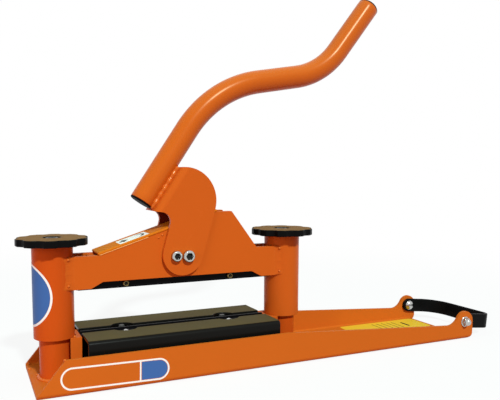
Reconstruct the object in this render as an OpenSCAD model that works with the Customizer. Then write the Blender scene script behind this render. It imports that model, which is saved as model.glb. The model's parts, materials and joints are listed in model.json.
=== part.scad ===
// Hand-lever masonry block splitter, standing on its base.
// Origin on the ground midway between the two columns. X runs along the base towards the tail,
// Y runs from the front to the back, Z is up. Lengths are in millimetres, angles in degrees.

/* [Base channel] */
// Outer width across the two flanges
base_w = 162; // [152:1:180]
// Thickness of the folded sheet
base_t = 5; // [4:0.5:6]
// Outer radius of the two folds
fold_r = 8; // [7:0.5:10]
// Length from the middle of the columns to the head end
head_l = 231; // [228:1:250]
// Length from the middle of the columns to the tail end
tail_l = 565; // [520:1:640]
// Height of the flanges between the columns
flange_h = 53; // [50:1:56]
// Height of the flanges at the tail
flange_tail_h = 29.5; // [27:0.5:32]
// Where the flanges start to fall towards the tail
taper_start = 165; // [150:1:200]
// Run of the sloped cut at the head end of each flange
head_cut = 40; // [30:1:46]
// Radius of the ear that carries a handle bolt
ear_r = 19.5; // [18.5:0.5:22]
// Height of the ear's centre
ear_z = 34; // [33:0.5:36]
// Radius of the hollow between flange and ear
ear_blend_r = 25; // [22:1:30]
// Radius of the bottom corner of each flange at the tail
tail_corner_r = 12; // [8:1:14]

/* [Columns] */
// Distance between the axes of the two columns
column_span = 390; // [380:1:410]
// Outer diameter of a post
post_d = 45; // [43:0.5:47]
// Bore of a post
post_bore = 33; // [31:0.5:35]
// Height of the top of a post above the ground
post_top = 160; // [152:1:161]
// Outer diameter of a sleeve
sleeve_d = 60.3; // [59:0.1:62]
// Wall of a sleeve
sleeve_wall = 4; // [3:0.25:4.5]
// Length of a sleeve
sleeve_l = 138; // [134:1:142]
// How far a sleeve stands above the flat ends of the beam
sleeve_rise = 16; // [15:0.5:22]
// Length of each guide bush inside a sleeve
bush_l = 25; // [18:1:28]
// Space between the two bushes of a sleeve
bush_space = 13; // [8:1:20]

/* [Height screws] */
// Diameter of a screw spindle
spindle_d = 16; // [14:0.5:18]
// Length of a spindle
spindle_l = 122; // [115:1:130]
// Thickness of the cap in the top of a sleeve
cap_t = 8; // [6:0.5:10]
// Outer diameter of the collar under a cap
collar_d = 26; // [23:0.5:29]
// Thickness of that collar
collar_t = 7; // [5:0.5:8]
// Length of the nut inside a post
spindle_nut_l = 20; // [15:1:24]
// Depth of that nut below the top of its post
spindle_nut_drop = 10; // [9:0.5:14]
// Diameter of a star knob over its lobes
knob_d = 106; // [96:1:112]
// Thickness of a star knob
knob_t = 11; // [9:0.5:14]
// Number of lobes on a knob
knob_lobes = 10; // [8:1:12]
// Depth of the hollows between lobes
knob_hollow = 4; // [2:0.5:5]
// Diameter of the recess in the middle of a knob
knob_recess_d = 26; // [24:0.5:32]
// Depth of that recess
knob_recess = 3; // [2:0.5:4]
// Turn of the left knob's lobes at rest
left_knob_set = -11; // [-18:1:18]
// Turn of the right knob's lobes at rest
right_knob_set = 7; // [-18:1:18]
// Thickness of the thrust washer under a knob
thrust_t = 1.5; // [1:0.25:2.5]

/* [Lower blade and supports] */
// Width of the anvil beam
anvil_w = 24; // [20:1:26]
// Height of the anvil beam's top
anvil_top = 68; // [66:0.5:68.5]
// Thickness of each blade
blade_t = 10; // [8:0.5:11]
// Depth of the groove that holds the lower blade
blade_groove = 14; // [12:0.5:16]
// Height of the stone supports at rest
support_top = 71.5; // [71:0.5:75]
// How far the lower blade's edge lies below the supports at rest
blade_drop = 0.5; // [0.5:0.1:1.5]
// Sheet thickness of a support
support_t = 5; // [4:0.5:6]
// Outer bend radius of a support
support_bend_r = 7; // [6.5:0.5:10]
// Space between a support and the flange beside it
support_flange_gap = 8.5; // [7:0.5:11]
// Height of the hanging side of a support
support_side_h = 32; // [24:1:38]
// Distance of the blade bolts from the middle
blade_bolt_x = 88; // [70:1:105]
// Width of a support's notch at a blade bolt
notch_w = 36; // [30:1:42]
// Depth of that notch
notch_depth = 11; // [10:0.5:14]
// Thickness of each blade bracket beside the anvil beam
bracket_t = 6; // [5:0.5:8]
// Width of each blade bracket
bracket_w = 48; // [40:1:52]
// Diameter of a support's guide pin
guide_pin_d = 10; // [8:0.5:11]
// Outer diameter of a guide socket on the floor
guide_socket_d = 16; // [14.5:0.5:17]
// Distance of the guide pins from the middle
guide_x = 125; // [118:1:135]
// Wire diameter of a support spring
spring_wire = 2.6; // [2:0.1:3]
// Outer diameter of a support spring
spring_d = 25; // [24.5:0.5:27]
// Number of turns of a support spring
spring_turns = 6; // [5:1:7]

/* [Bridge beam] */
// Depth of the beam over its two plates
bridge_depth = 48; // [44:1:52]
// Thickness of a bridge plate
bridge_plate_t = 10; // [8:0.5:11]
// Height of the beam's underside between the columns
beam_mid_low = 149; // [140:0.5:160]
// How far the deep feet at the columns reach below that underside
beam_foot_drop = 9.5; // [7:0.5:12]
// Height of the beam's flat ends above the same underside
beam_end_h = 40; // [38:0.5:44]
// Distance from the middle to the end of the deep feet
beam_foot_x = 143; // [138:1:147]
// Run of the slope from a foot to the underside
beam_foot_run = 18; // [12:1:20]
// Distance from the middle to the start of the long slope
slope_start_x = 131; // [124:1:136]
// Rise of the peak above the flat ends
peak_rise = 61.5; // [56:0.5:62]
// Where the peak starts
peak_x = 63; // [58:1:66]
// Flat length of the peak
peak_flat = 25; // [18:1:30]
// Distance from the middle to the foot of the steep slope
steep_foot_x = 134; // [128:1:140]
// Thickness of the strip on the long slope
strip_t = 4.5; // [3:0.25:5]
// Length of a guide block between the plates
guide_block_l = 16; // [12:1:20]

/* [Press bar and upper blade] */
// How far the press bar hangs below the beam's underside at rest
press_drop = 12.5; // [12:0.25:13]
// Height of the press bar between its middle and its ends
press_h = 32; // [28:1:36]
// Height of its low tips, which reach past the guide blocks
press_tip_h = 13.5; // [12.5:0.25:14]
// Depth of the groove for the upper blade
press_groove = 11; // [10.5:0.25:12]
// How far the upper blade reaches below the press bar
blade_reach = 2; // [1:0.25:3]
// Height of the upper blade bolts above the press bar's underside
press_bolt_rise = 6.5; // [6:0.25:6.75]
// Width of the boss round the crank roller
press_boss_w = 54; // [48:1:60]
// Wall of the boss above and below the roller's slot
press_boss_wall = 11; // [9:0.5:14]

/* [Lever] */
// Lean of the lever tube above the horizontal
lever_angle = 56; // [52:1:60]
// Pivot from the middle, towards the tail
pivot_x = -11; // [-14:0.5:-8]
// Height of the pivot above the beam's underside
pivot_rise = 34; // [33:0.5:36]
// Distance from the pivot to the crank bolt
crank_r = 20.2; // [19.5:0.1:21]
// Angle of the crank bolt below the horizontal
crank_drop = 3; // [1:0.5:5]
// Turn of the lever from rest to its stop
lever_turn = 46; // [42:1:46]
// Outer diameter of the lever tube
tube_d = 38; // [34:0.5:42]
// Wall of the lever tube
tube_wall = 3; // [2:0.25:4]
// Distance from the pivot to the tube's axis
tube_offset = 86; // [85:0.5:92]
// Where the tube starts along its own direction, counted from the pivot
tube_start = 45; // [42:1:52]
// Length of the lower straight of the tube
tube_low_l = 137; // [120:1:150]
// Radius of the lower bend
tube_low_r = 194; // [150:1:220]
// Turn of the lower bend
tube_low_turn = 46; // [40:1:50]
// Length of the middle straight
tube_mid_l = 75; // [60:1:90]
// Radius of the upper bend
tube_high_r = 136; // [110:1:160]
// Turn of the upper bend
tube_high_turn = 42; // [36:1:48]
// Length of the upper straight
tube_high_l = 102.5; // [85:0.5:125]
// Sheet thickness of the clevis
clevis_t = 6; // [5:0.5:7]
// Outer bend radius of the clevis
clevis_bend_r = 11; // [9:0.5:14]
// Radius of the clevis's lower end
clevis_end_r = 33; // [31:0.5:36]
// Radius of the clevis's upper end
clevis_top_r = 53; // [48:0.5:57]
// Radius of the hollow at the back of the clevis
clevis_notch_r = 15; // [10:0.5:18]

/* [Carry handle] */
// Height of the handle strap
strap_h = 27; // [22:0.5:30]
// Thickness of the handle strap
strap_t = 5; // [4:0.5:6]
// Reach of the strap beyond its bolts
strap_reach = 76; // [60:1:90]
// Outer radius of the strap's corners
strap_corner_r = 22; // [12:1:30]
// Droop of the strap at rest
strap_droop = 6; // [4:1:12]
// Diameter of the handle bolts
handle_bolt_d = 10; // [8:0.5:10]

/* [Hidden] */
$fn = 72;
arc_steps = 12;

// Paint and metal
PAINT = [0.83, 0.41, 0.12];
BLACK = [0.10, 0.10, 0.11];
STEEL = [0.72, 0.73, 0.75];
ZINC = [0.78, 0.70, 0.46];
BRONZE = [0.66, 0.50, 0.28];

// Clearances and the overrun that carries a cut past a face
overrun = 1;
run_gap = 0.05;
side_gap = 0.3;
hole_gap = 0.2;
sleeve_gap = 0.85;
roller_gap = 1;
support_end_gap = 1.5;
support_beam_gap = 1.5;
press_end_gap = 0.6;
press_tip_gap = 4;
cheek_gap = 1;

// Heights that follow the beam
beam_end_low = beam_mid_low - beam_foot_drop;
beam_end_top = beam_mid_low + beam_end_h;
peak_z = beam_end_top + peak_rise;
sleeve_top = beam_end_top + sleeve_rise;
sleeve_z = sleeve_top - sleeve_l;
press_low = beam_mid_low - press_drop;
pivot_z = beam_mid_low + pivot_rise;

// Columns
column_x = column_span / 2;
sleeve_bore = sleeve_d - 2 * sleeve_wall;
cap_low = sleeve_top - cap_t;
knob_low = sleeve_top + thrust_t;
knob_top = knob_low + knob_t;
knob_seat = knob_top - knob_recess;
spindle_low = knob_seat - spindle_l;
thrust_d = 34;
knob_bolt_d = 8;
knob_bolt_l = 16;
knob_bolt_head_d = 20;
knob_bolt_head_t = 2.4;
knob_hollow_share = 0.417;

// Base and tail
ear_x = tail_l - ear_r;
floor_end = tail_l - tail_corner_r;
ear_blend_z = flange_tail_h + ear_blend_r;
ear_blend_x = ear_x - sqrt(pow(ear_r + ear_blend_r, 2) - pow(ear_blend_z - ear_z, 2));
inner_w = base_w - 2 * base_t;

// Blade, anvil and supports
anvil_half_l = column_x - sleeve_d / 2 - sleeve_gap - bracket_t;
support_half_l = anvil_half_l - support_end_gap;
support_in = anvil_w / 2 + support_beam_gap;
support_out = inner_w / 2 - support_flange_gap;
support_low = support_top - support_side_h;
support_under = support_top - support_t;
bracket_top = anvil_top;
blade_edge = 1;
lower_edge_z = support_top - blade_drop;
lower_bolt_d = 8;
lower_bolt_z = anvil_top - lower_bolt_d / 2;
lower_head_d = 12.5;
lower_head_t = 7;
lower_nut_t = 6.5;
lower_nut_d = 14;
notch_r = (pow(notch_w / 2, 2) + pow(notch_depth, 2)) / (2 * notch_depth);
guide_y = (support_in + support_out) / 2;
guide_pin_l = 48;
guide_socket_h = 36;
spring_h = support_under - base_t;
spring_mid_r = (spring_d - spring_wire) / 2;
spring_end_share = 0.1;
spring_rings = 8;
spring_sides = 6;

// Bridge, press bar and upper blade
plate_out = bridge_depth / 2;
plate_in = plate_out - bridge_plate_t;
press_half_w = plate_in - side_gap;
guide_block_set = 1.5;
guide_block_drop = 2;
guide_block_lift = 2;
guide_block_in = beam_foot_x - beam_foot_run + guide_block_set;
guide_block_low = beam_mid_low + guide_block_lift;
press_half_l = guide_block_in - press_end_gap;
press_tip_l = column_x - sleeve_d / 2 - press_tip_gap;
guide_block_top = beam_end_top - guide_block_drop;
slope_rise = atan2(peak_z - beam_end_top, peak_x + slope_start_x);
slope_l = norm([peak_x + slope_start_x, peak_z - beam_end_top]);
upper_edge_z = press_low - blade_reach;
upper_bolt_d = 6;
upper_bolt_z = press_low + press_bolt_rise;
upper_head_d = 10;
upper_head_t = 5;
upper_nut_t = 5;
upper_nut_d = 11;

// Lever, in its own frame: X along the tube, Z towards the tube, origin on the pivot
cheek_in = plate_out + cheek_gap;
cheek_out = cheek_in + clevis_t;
web_out = tube_offset - tube_d / 2;
web_in = web_out - clevis_t;
crank_bolt_d = 12;
crank_angle = -crank_drop - lever_angle;
crank_x = crank_r * cos(crank_angle);
crank_z = crank_r * sin(crank_angle);
crank_head_d = 18;
crank_head_t = 8;
crank_nut_d = 20;
crank_nut_t = 9;
roller_d = 17;
roller_half_l = press_half_w - side_gap;
pivot_shoulder_d = 12;
pivot_bush_d = 16;
pivot_thread_d = 10;
pivot_head_d = 16;
pivot_head_t = 8;
pivot_washer_d = 24;
pivot_washer_t = cheek_in - plate_out - side_gap;
tube_bore = tube_d - 2 * tube_wall;
bend_swell = 0.1;
plug_t = 3;
plug_stem_l = 16;
clevis_end = [8, -9];
clevis_top = [80, 35];
clevis_notch = [53, 41];
web_lead = 5;
web_start = tube_start - web_lead;

// Crank roller and its slot, as they lie at rest
crank_rest_x = pivot_x + crank_r * cos(crank_drop);
crank_rest_z = pivot_z - crank_r * sin(crank_drop);
crank_end_x = pivot_x + crank_r * cos(crank_drop + lever_turn);
slot_mid_x = (crank_rest_x + crank_end_x) / 2;
slot_w = roller_d + 2 * roller_gap;
slot_l = crank_rest_x - crank_end_x + slot_w;
plate_slot_spare = 3;
plate_slot_w = crank_bolt_d + 2 * roller_gap;

// Carry handle
strap_out = inner_w / 2 - side_gap;
strap_in = strap_out - strap_t;
handle_head_d = 19;
handle_head_t = 6.5;
handle_nut_d = 17;
handle_nut_t = 6;
handle_dome_r = 6.8;

// Helpers

// An outline in X and Z, made as deep as asked and centred on y
module along_y(depth, y = 0) {
    translate([0, y + depth / 2, 0]) rotate([90, 0, 0]) linear_extrude(depth) children();
}

// An outline in Y and Z, carried from one x to another
module along_x(from, to) {
    translate([from, 0, 0]) rotate([90, 0, 90]) linear_extrude(to - from) children();
}

// A round rod along Y
module rod_y(d, from, to, x, z) {
    translate([x, to, z]) rotate([90, 0, 0]) cylinder(d = d, h = to - from);
}

// A six-sided bar along Y, measured over its corners, with a bore
module nut_y(d, bore, from, to, x, z) {
    difference() {
        translate([x, to, z]) rotate([90, 0, 0]) cylinder(d = d, h = to - from, $fn = 6);
        rod_y(bore, from - overrun, to + overrun, x, z);
    }
}

// A ring round Z
module ring_z(d, bore, from, to) {
    difference() {
        translate([0, 0, from]) cylinder(d = d, h = to - from);
        translate([0, 0, from - overrun]) cylinder(d = bore, h = to - from + 2 * overrun);
    }
}

// A rectangle that stands on zero with two rounded lower corners
module floor_rounded(w, h, r) {
    translate([-w / 2, r]) square([w, h - r]);
    translate([r - w / 2, 0]) square([w - 2 * r, h]);
    for (side = [-1, 1]) translate([side * (w / 2 - r), r]) circle(r);
}

// A rectangle from the origin with its far upper corner rounded
module corner_rounded(w, h, r) {
    square([w - r, h]);
    square([w, h - r]);
    translate([w - r, h - r]) circle(r);
}

// A slot with round ends along X, over all
module stadium(l, w) {
    square([l - w, w], center = true);
    for (side = [-1, 1]) translate([side * (l - w) / 2, 0]) circle(d = w);
}

// Points along an arc, from one angle to another, without the ends where asked
function arc_points(centre, r, from, to, skip = 0) = [
    for (i = [skip:arc_steps - skip])
        let (a = from + (to - from) * i / arc_steps) centre + r * [cos(a), sin(a)]
];

// A round-ended slot along an arc about the origin, from one angle to another
module arc_slot(r, w, from, to) {
    polygon(concat(
        arc_points([0, 0], r + w / 2, from, to),
        arc_points(r * [cos(to), sin(to)], w / 2, to, to + 180, 1),
        arc_points([0, 0], r - w / 2, to, from),
        arc_points(r * [cos(from), sin(from)], w / 2, from + 180, from + 360, 1)
    ));
}

// The round filling of an inner corner between two edges that leave it along u and v, in X and Z
module corner_fill(corner, u, v, r, depth) {
    half = acos(u * v) / 2;
    run = r / tan(half);
    middle = unit(u + v);
    centre = corner + middle * r / sin(half);
    difference() {
        along_y(depth) polygon([corner - overrun * middle, corner + run * u, centre, corner + run * v]);
        rod_y(2 * r, -depth, depth, centre[0], centre[1]);
    }
}

function unit(v) = v / norm(v);

// Where a line from point p touches a circle, on the side given by turn
function touch(centre, r, p, turn) =
    let (d = p - centre, a = atan2(d[1], d[0]) + turn * acos(r / norm(d)))
    centre + r * [cos(a), sin(a)];

// The direction of the outer common tangent's foot on both circles
function common_angle(c1, r1, c2, r2) =
    let (d = c2 - c1) atan2(d[1], d[0]) - acos((r1 - r2) / norm(d));

// Put a piece at the left or the right column
module at_column(side) { translate([side * column_x, 0, 0]) children(); }

// Put a piece in the lever's own frame
module in_lever() { translate([pivot_x, 0, pivot_z]) rotate([0, -lever_angle, 0]) children(); }

// Base

// The two flanges and the floor seen from the side, as deep as asked
module base_side(depth) {
    from = -depth / 2;
    to = depth / 2;
    along_y(depth) polygon([
        [-head_l, 0], [-head_l, base_t], [head_cut - head_l, flange_h],
        [taper_start, flange_h], [ear_blend_x, flange_tail_h], [ear_x, flange_tail_h],
        [ear_x, ear_z], [tail_l, ear_z], [tail_l, 0]
    ]);
    rod_y(2 * ear_r, from, to, ear_x, ear_z);
    difference() {
        along_y(depth) polygon([
            [ear_blend_x, flange_tail_h - overrun], [ear_blend_x, ear_blend_z],
            [ear_x, ear_z], [ear_x, flange_tail_h - overrun]
        ]);
        rod_y(2 * ear_blend_r, from - overrun, to + overrun, ear_blend_x, ear_blend_z);
    }
}

module base_channel() {
    section_h = flange_h + ear_r;
    color(PAINT) difference() {
        intersection() {
            along_x(-head_l, tail_l) difference() {
                floor_rounded(base_w, section_h, fold_r);
                translate([0, base_t]) floor_rounded(inner_w, section_h, fold_r - base_t);
            }
            base_side(base_w + 2 * overrun);
        }
        along_y(base_w + 2 * overrun) difference() {
            translate([floor_end, -overrun]) square(tail_corner_r + overrun);
            translate([floor_end, tail_corner_r]) circle(tail_corner_r);
        }
        translate([floor_end, -inner_w / 2, -overrun])
            cube([tail_corner_r + overrun, inner_w, fold_r + overrun]);
        rod_y(handle_bolt_d + hole_gap, -base_w, base_w, ear_x, ear_z);
    }
}

module post(side) {
    color(PAINT) at_column(side) ring_z(post_d, post_bore, base_t, post_top);
}

module blade_bracket(side) {
    color(PAINT) mirror([side < 0 ? 1 : 0, 0, 0]) difference() {
        translate([anvil_half_l, -bracket_w / 2, base_t])
            cube([column_x - anvil_half_l, bracket_w, bracket_top - base_t]);
        at_column(1) cylinder(r = sleeve_d / 2 + sleeve_gap, h = sleeve_top);
    }
}

module blade_bolt_holes(d, z) {
    for (side = [-1, 1]) rod_y(d, -base_w, base_w, side * blade_bolt_x, z);
}

module anvil_beam() {
    color(BLACK) difference() {
        along_x(-anvil_half_l, anvil_half_l) difference() {
            translate([-anvil_w / 2, base_t]) square([anvil_w, anvil_top - base_t]);
            translate([-blade_t / 2, anvil_top - blade_groove]) square([blade_t, blade_groove + overrun]);
        }
        blade_bolt_holes(lower_bolt_d + hole_gap, lower_bolt_z);
    }
}

// A blade's section: a flat bar with a bevelled edge, from its back to its edge
module blade_section(back, edge) {
    away = sign(edge - back);
    bevel = edge - away * (blade_t / 2 - blade_edge);
    polygon([
        [-blade_t / 2, back], [blade_t / 2, back], [blade_t / 2, bevel],
        [blade_edge, edge], [-blade_edge, edge], [-blade_t / 2, bevel]
    ]);
}

module lower_blade() {
    color(BLACK) difference() {
        along_x(-support_half_l, support_half_l) blade_section(anvil_top - blade_groove, lower_edge_z);
        blade_bolt_holes(lower_bolt_d + hole_gap, lower_bolt_z);
    }
}

// A cap-headed bolt along Y with its head at the front, and a hexagon socket
module cap_bolt(d, head_d, head_t, front, back, x, z) {
    socket_d = head_d / 2;
    difference() {
        union() {
            rod_y(d, front, back, x, z);
            rod_y(head_d, front - head_t, front, x, z);
        }
        translate([x, front - head_t / 2, z]) rotate([90, 0, 0])
            cylinder(d = socket_d, h = head_t, $fn = 6);
    }
}

module lower_blade_bolts() {
    color(STEEL) for (side = [-1, 1])
        cap_bolt(lower_bolt_d, lower_head_d, lower_head_t, -anvil_w / 2,
            anvil_w / 2 + lower_nut_t, side * blade_bolt_x, lower_bolt_z);
}

module lower_blade_nuts() {
    color(STEEL) for (side = [-1, 1])
        nut_y(lower_nut_d, lower_bolt_d, anvil_w / 2, anvil_w / 2 + lower_nut_t,
            side * blade_bolt_x, lower_bolt_z);
}

module spindle_nut(side) {
    nut_top = post_top - spindle_nut_drop;
    color(BRONZE) at_column(side)
        ring_z(post_bore, spindle_d + 2 * run_gap, nut_top - spindle_nut_l, nut_top);
}

// Stone supports

module at_guides(ysides) {
    for (xside = [-1, 1], yside = ysides) translate([xside * guide_x, yside * guide_y, 0]) children();
}

module support_guide_sockets() {
    color(PAINT) at_guides([-1, 1])
        ring_z(guide_socket_d, guide_pin_d + 2 * run_gap, base_t, base_t + guide_socket_h);
}

// Centre of the spring wire at a given turn: the first and last turns lie flat
function spring_rise(t) =
    let (flat = spring_turns * spring_end_share)
    min(max((t - flat) / (spring_turns - 2 * flat), 0), 1);
function spring_point(ring, side) =
    let (t = ring / spring_rings, turn = 360 * t, a = 360 * side / spring_sides,
         r = spring_mid_r + spring_wire / 2 * cos(a))
    [r * cos(turn), r * sin(turn),
     spring_wire / 2 * (1 + sin(a)) + (spring_h - spring_wire) * spring_rise(t)];

spring_last = spring_turns * spring_rings;
spring_points = [for (i = [0:spring_last], j = [0:spring_sides - 1]) spring_point(i, j)];
spring_gap = min([
    for (i = [0:spring_last - spring_rings], j = [0:spring_sides - 1], k = [0:spring_sides - 1])
        norm(spring_point(i, j) - spring_point(i + spring_rings, k))
]);
echo(least_spring_gap = spring_gap);

module support_spring() {
    n = spring_sides;
    last = spring_last * n;
    polyhedron(spring_points, [
        for (i = [0:spring_last - 1], j = [0:n - 1]) [i * n + j, i * n + (j + 1) % n, (i + 1) * n + j],
        for (i = [0:spring_last - 1], j = [0:n - 1])
            [i * n + (j + 1) % n, (i + 1) * n + (j + 1) % n, (i + 1) * n + j],
        for (j = [1:n - 2]) [0, j + 1, j],
        for (j = [1:n - 2]) [last, last + j, last + j + 1]
    ]);
}

module support_springs(yside) {
    color(STEEL) at_guides([yside]) translate([0, 0, base_t]) support_spring();
}

module support(yside) {
    color(BLACK) mirror([0, yside < 0 ? 1 : 0, 0]) difference() {
        along_x(-support_half_l, support_half_l) difference() {
            translate([support_in, support_low])
                corner_rounded(support_out - support_in, support_side_h, support_bend_r);
            translate([support_in - overrun, support_low - overrun])
                corner_rounded(support_out - support_in - support_t + overrun,
                    support_side_h - support_t + overrun, support_bend_r - support_t);
        }
        for (xside = [-1, 1])
            translate([xside * blade_bolt_x, support_in + notch_depth - notch_r, support_low])
                cylinder(r = notch_r, h = support_side_h + overrun);
    }
}

module guide_pins(yside) {
    color(STEEL) at_guides([yside])
        translate([0, 0, support_under - guide_pin_l]) cylinder(d = guide_pin_d, h = guide_pin_l);
}

// Bridge

module sleeve(side) {
    color(PAINT) at_column(side) ring_z(sleeve_d, sleeve_bore, sleeve_z, sleeve_top);
}

module guide_bushes(side) {
    color(BRONZE) at_column(side) for (from = [sleeve_z, sleeve_z + bush_l + bush_space])
        ring_z(sleeve_bore, post_d + 2 * run_gap, from, from + bush_l);
}

module sleeve_cap(side) {
    color(PAINT) at_column(side)
        ring_z(sleeve_bore, spindle_d + 2 * run_gap, cap_low, sleeve_top);
}

module bridge_outline() {
    difference() {
        polygon([
            [-column_x, beam_end_low], [-beam_foot_x, beam_end_low],
            [beam_foot_run - beam_foot_x, beam_mid_low], [beam_foot_x - beam_foot_run, beam_mid_low],
            [beam_foot_x, beam_end_low], [column_x, beam_end_low], [column_x, beam_end_top],
            [steep_foot_x, beam_end_top], [peak_x + peak_flat, peak_z], [peak_x, peak_z],
            [-slope_start_x, beam_end_top], [-column_x, beam_end_top]
        ]);
        translate([pivot_x, pivot_z]) {
            circle(d = pivot_thread_d);
            arc_slot(crank_r, plate_slot_w, -crank_drop - lever_turn - plate_slot_spare,
                plate_slot_spare - crank_drop);
        }
    }
}

module bridge_plate(yside) {
    color(PAINT) difference() {
        along_y(bridge_plate_t, yside * (plate_out - bridge_plate_t / 2)) bridge_outline();
        for (side = [-1, 1]) at_column(side) cylinder(d = sleeve_d, h = peak_z);
    }
}

module slope_strip() {
    color(PAINT) translate([-slope_start_x, 0, beam_end_top]) rotate([0, -slope_rise, 0])
        translate([0, -plate_out, 0]) cube([slope_l, bridge_depth, strip_t]);
}

module guide_block(side) {
    color(PAINT) mirror([side < 0 ? 1 : 0, 0, 0])
        translate([guide_block_in, -plate_in, guide_block_low])
            cube([guide_block_l, 2 * plate_in, guide_block_top - guide_block_low]);
}

// Put a piece made for the front on the front or on the back
module on_side(yside) { mirror([0, yside > 0 ? 1 : 0, 0]) children(); }

module pivot_bolts() {
    color(STEEL) for (yside = [-1, 1]) on_side(yside) {
        rod_y(pivot_thread_d, -plate_out, -plate_in, pivot_x, pivot_z);
        cap_bolt(pivot_shoulder_d, pivot_head_d, pivot_head_t, -cheek_out - side_gap, -plate_out,
            pivot_x, pivot_z);
    }
}

module pivot_washers() {
    color(STEEL) for (yside = [-1, 1]) on_side(yside) difference() {
        rod_y(pivot_washer_d, -plate_out - pivot_washer_t, -plate_out, pivot_x, pivot_z);
        rod_y(pivot_shoulder_d, -base_w, 0, pivot_x, pivot_z);
    }
}

// Height screws

module knob(side) {
    set = side < 0 ? left_knob_set : right_knob_set;
    hollow_r = PI * knob_d / knob_lobes * knob_hollow_share;
    color(BLACK) at_column(side) difference() {
        translate([0, 0, knob_low]) linear_extrude(knob_t) difference() {
            circle(d = knob_d);
            for (i = [0:knob_lobes - 1]) rotate(set + 360 * i / knob_lobes)
                translate([knob_d / 2 - knob_hollow + hollow_r, 0]) circle(hollow_r);
        }
        translate([0, 0, knob_seat]) cylinder(d = knob_recess_d, h = knob_recess + overrun);
        translate([0, 0, knob_low - overrun]) cylinder(d = spindle_d, h = knob_t);
    }
}

module spindle(side) {
    color(STEEL) at_column(side) difference() {
        translate([0, 0, spindle_low]) cylinder(d = spindle_d, h = spindle_l);
        translate([0, 0, knob_seat - knob_bolt_l]) cylinder(d = knob_bolt_d, h = knob_bolt_l + overrun);
    }
}

module collar(side) {
    color(STEEL) at_column(side)
        ring_z(collar_d, spindle_d, cap_low - side_gap - collar_t, cap_low - side_gap);
}

module knob_bolt(side) {
    color(STEEL) at_column(side) {
        translate([0, 0, knob_seat - knob_bolt_l]) cylinder(d = knob_bolt_d, h = knob_bolt_l);
        translate([0, 0, knob_seat]) cylinder(d = knob_bolt_head_d, h = knob_bolt_head_t);
    }
}

module thrust_washer(side) {
    color(BRONZE) at_column(side)
        ring_z(thrust_d, spindle_d, sleeve_top + side_gap, knob_low);
}

// Press bar and upper blade

module press_outline() {
    boss_top = crank_rest_z + slot_w / 2 + press_boss_wall;
    boss_low = boss_top - press_boss_wall;
    boss_half = press_boss_w / 2;
    bar_top = press_low + press_h;
    difference() {
        union() {
            polygon([
                [-press_tip_l, press_low], [press_tip_l, press_low],
                [press_tip_l, press_low + press_tip_h], [press_half_l, press_low + press_tip_h],
                [press_half_l, bar_top], [-press_half_l, bar_top],
                [-press_half_l, press_low + press_tip_h], [-press_tip_l, press_low + press_tip_h]
            ]);
            translate([slot_mid_x, 0]) polygon([
                [-boss_half - press_boss_wall, bar_top], [boss_half + press_boss_wall, bar_top],
                [boss_half, boss_low], [boss_half - press_boss_wall, boss_top],
                [press_boss_wall - boss_half, boss_top], [-boss_half, boss_low]
            ]);
        }
        translate([slot_mid_x, crank_rest_z]) stadium(slot_l, slot_w);
    }
}

module press_bar() {
    color(BLACK) difference() {
        along_y(2 * press_half_w) press_outline();
        translate([-press_tip_l - overrun, -blade_t / 2, press_low - overrun])
            cube([2 * (press_tip_l + overrun), blade_t, press_groove + overrun]);
        blade_bolt_holes(upper_bolt_d + hole_gap, upper_bolt_z);
    }
}

module upper_blade() {
    color(BLACK) difference() {
        along_x(-press_tip_l, press_tip_l) blade_section(press_low + press_groove, upper_edge_z);
        blade_bolt_holes(upper_bolt_d + hole_gap, upper_bolt_z);
    }
}

module upper_blade_bolts() {
    color(ZINC) for (side = [-1, 1])
        cap_bolt(upper_bolt_d, upper_head_d, upper_head_t, -press_half_w, press_half_w + upper_nut_t,
            side * blade_bolt_x, upper_bolt_z);
}

module upper_blade_nuts() {
    color(ZINC) for (side = [-1, 1])
        nut_y(upper_nut_d, upper_bolt_d, press_half_w, press_half_w + upper_nut_t,
            side * blade_bolt_x, upper_bolt_z);
}

// Lever

// The wall of the lever tube in section; it thickens a little in the bends
module tube_ring(swell) {
    difference() {
        circle(d = tube_d + swell);
        circle(d = tube_bore - swell);
    }
}

// A straight of the tube along X, from one place to another
module tube_straight(from, to) {
    translate([from, 0, 0]) rotate([0, 90, 0]) linear_extrude(to - from) tube_ring(0);
}

// A bend of the tube that starts at the origin along X and turns up or down, as way is 1 or -1
module tube_bend(r, turn, way) {
    translate([0, 0, way * r]) rotate([0, way > 0 ? 90 : turn - 90, 0]) rotate([90, 0, 0])
        rotate_extrude(angle = turn) translate([r, 0]) tube_ring(bend_swell);
}

// Carry on from the end of such a bend
module after_bend(r, turn, way) {
    translate([r * sin(turn), 0, way * (r - r * cos(turn))]) rotate([0, -way * turn, 0]) children();
}

module at_tube_start() { in_lever() translate([tube_start, 0, tube_offset]) children(); }

module after_low_bend() {
    translate([tube_low_l, 0, 0]) after_bend(tube_low_r, tube_low_turn, -1) children();
}

module after_high_bend() {
    after_low_bend() translate([tube_mid_l, 0, 0]) after_bend(tube_high_r, tube_high_turn, 1) children();
}

module at_tube_end() { at_tube_start() after_high_bend() translate([tube_high_l, 0, 0]) children(); }

module lever_tube() {
    color(PAINT) at_tube_start() {
        tube_straight(0, tube_low_l + overrun);
        translate([tube_low_l, 0, 0]) tube_bend(tube_low_r, tube_low_turn, -1);
        after_low_bend() tube_straight(-overrun, tube_mid_l + overrun);
        after_low_bend() translate([tube_mid_l, 0, 0]) tube_bend(tube_high_r, tube_high_turn, 1);
        after_high_bend() tube_straight(-overrun, tube_high_l);
    }
}

// An end plug whose stem goes into a tube along X
module tube_plug() {
    color(BLACK) rotate([0, 90, 0]) {
        translate([0, 0, -plug_t]) cylinder(d = tube_d, h = plug_t);
        cylinder(d = tube_bore, h = plug_stem_l);
    }
}

module lower_tube_plug() { at_tube_start() tube_plug(); }

module upper_tube_plug() { at_tube_end() rotate([0, 0, 180]) tube_plug(); }

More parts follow.
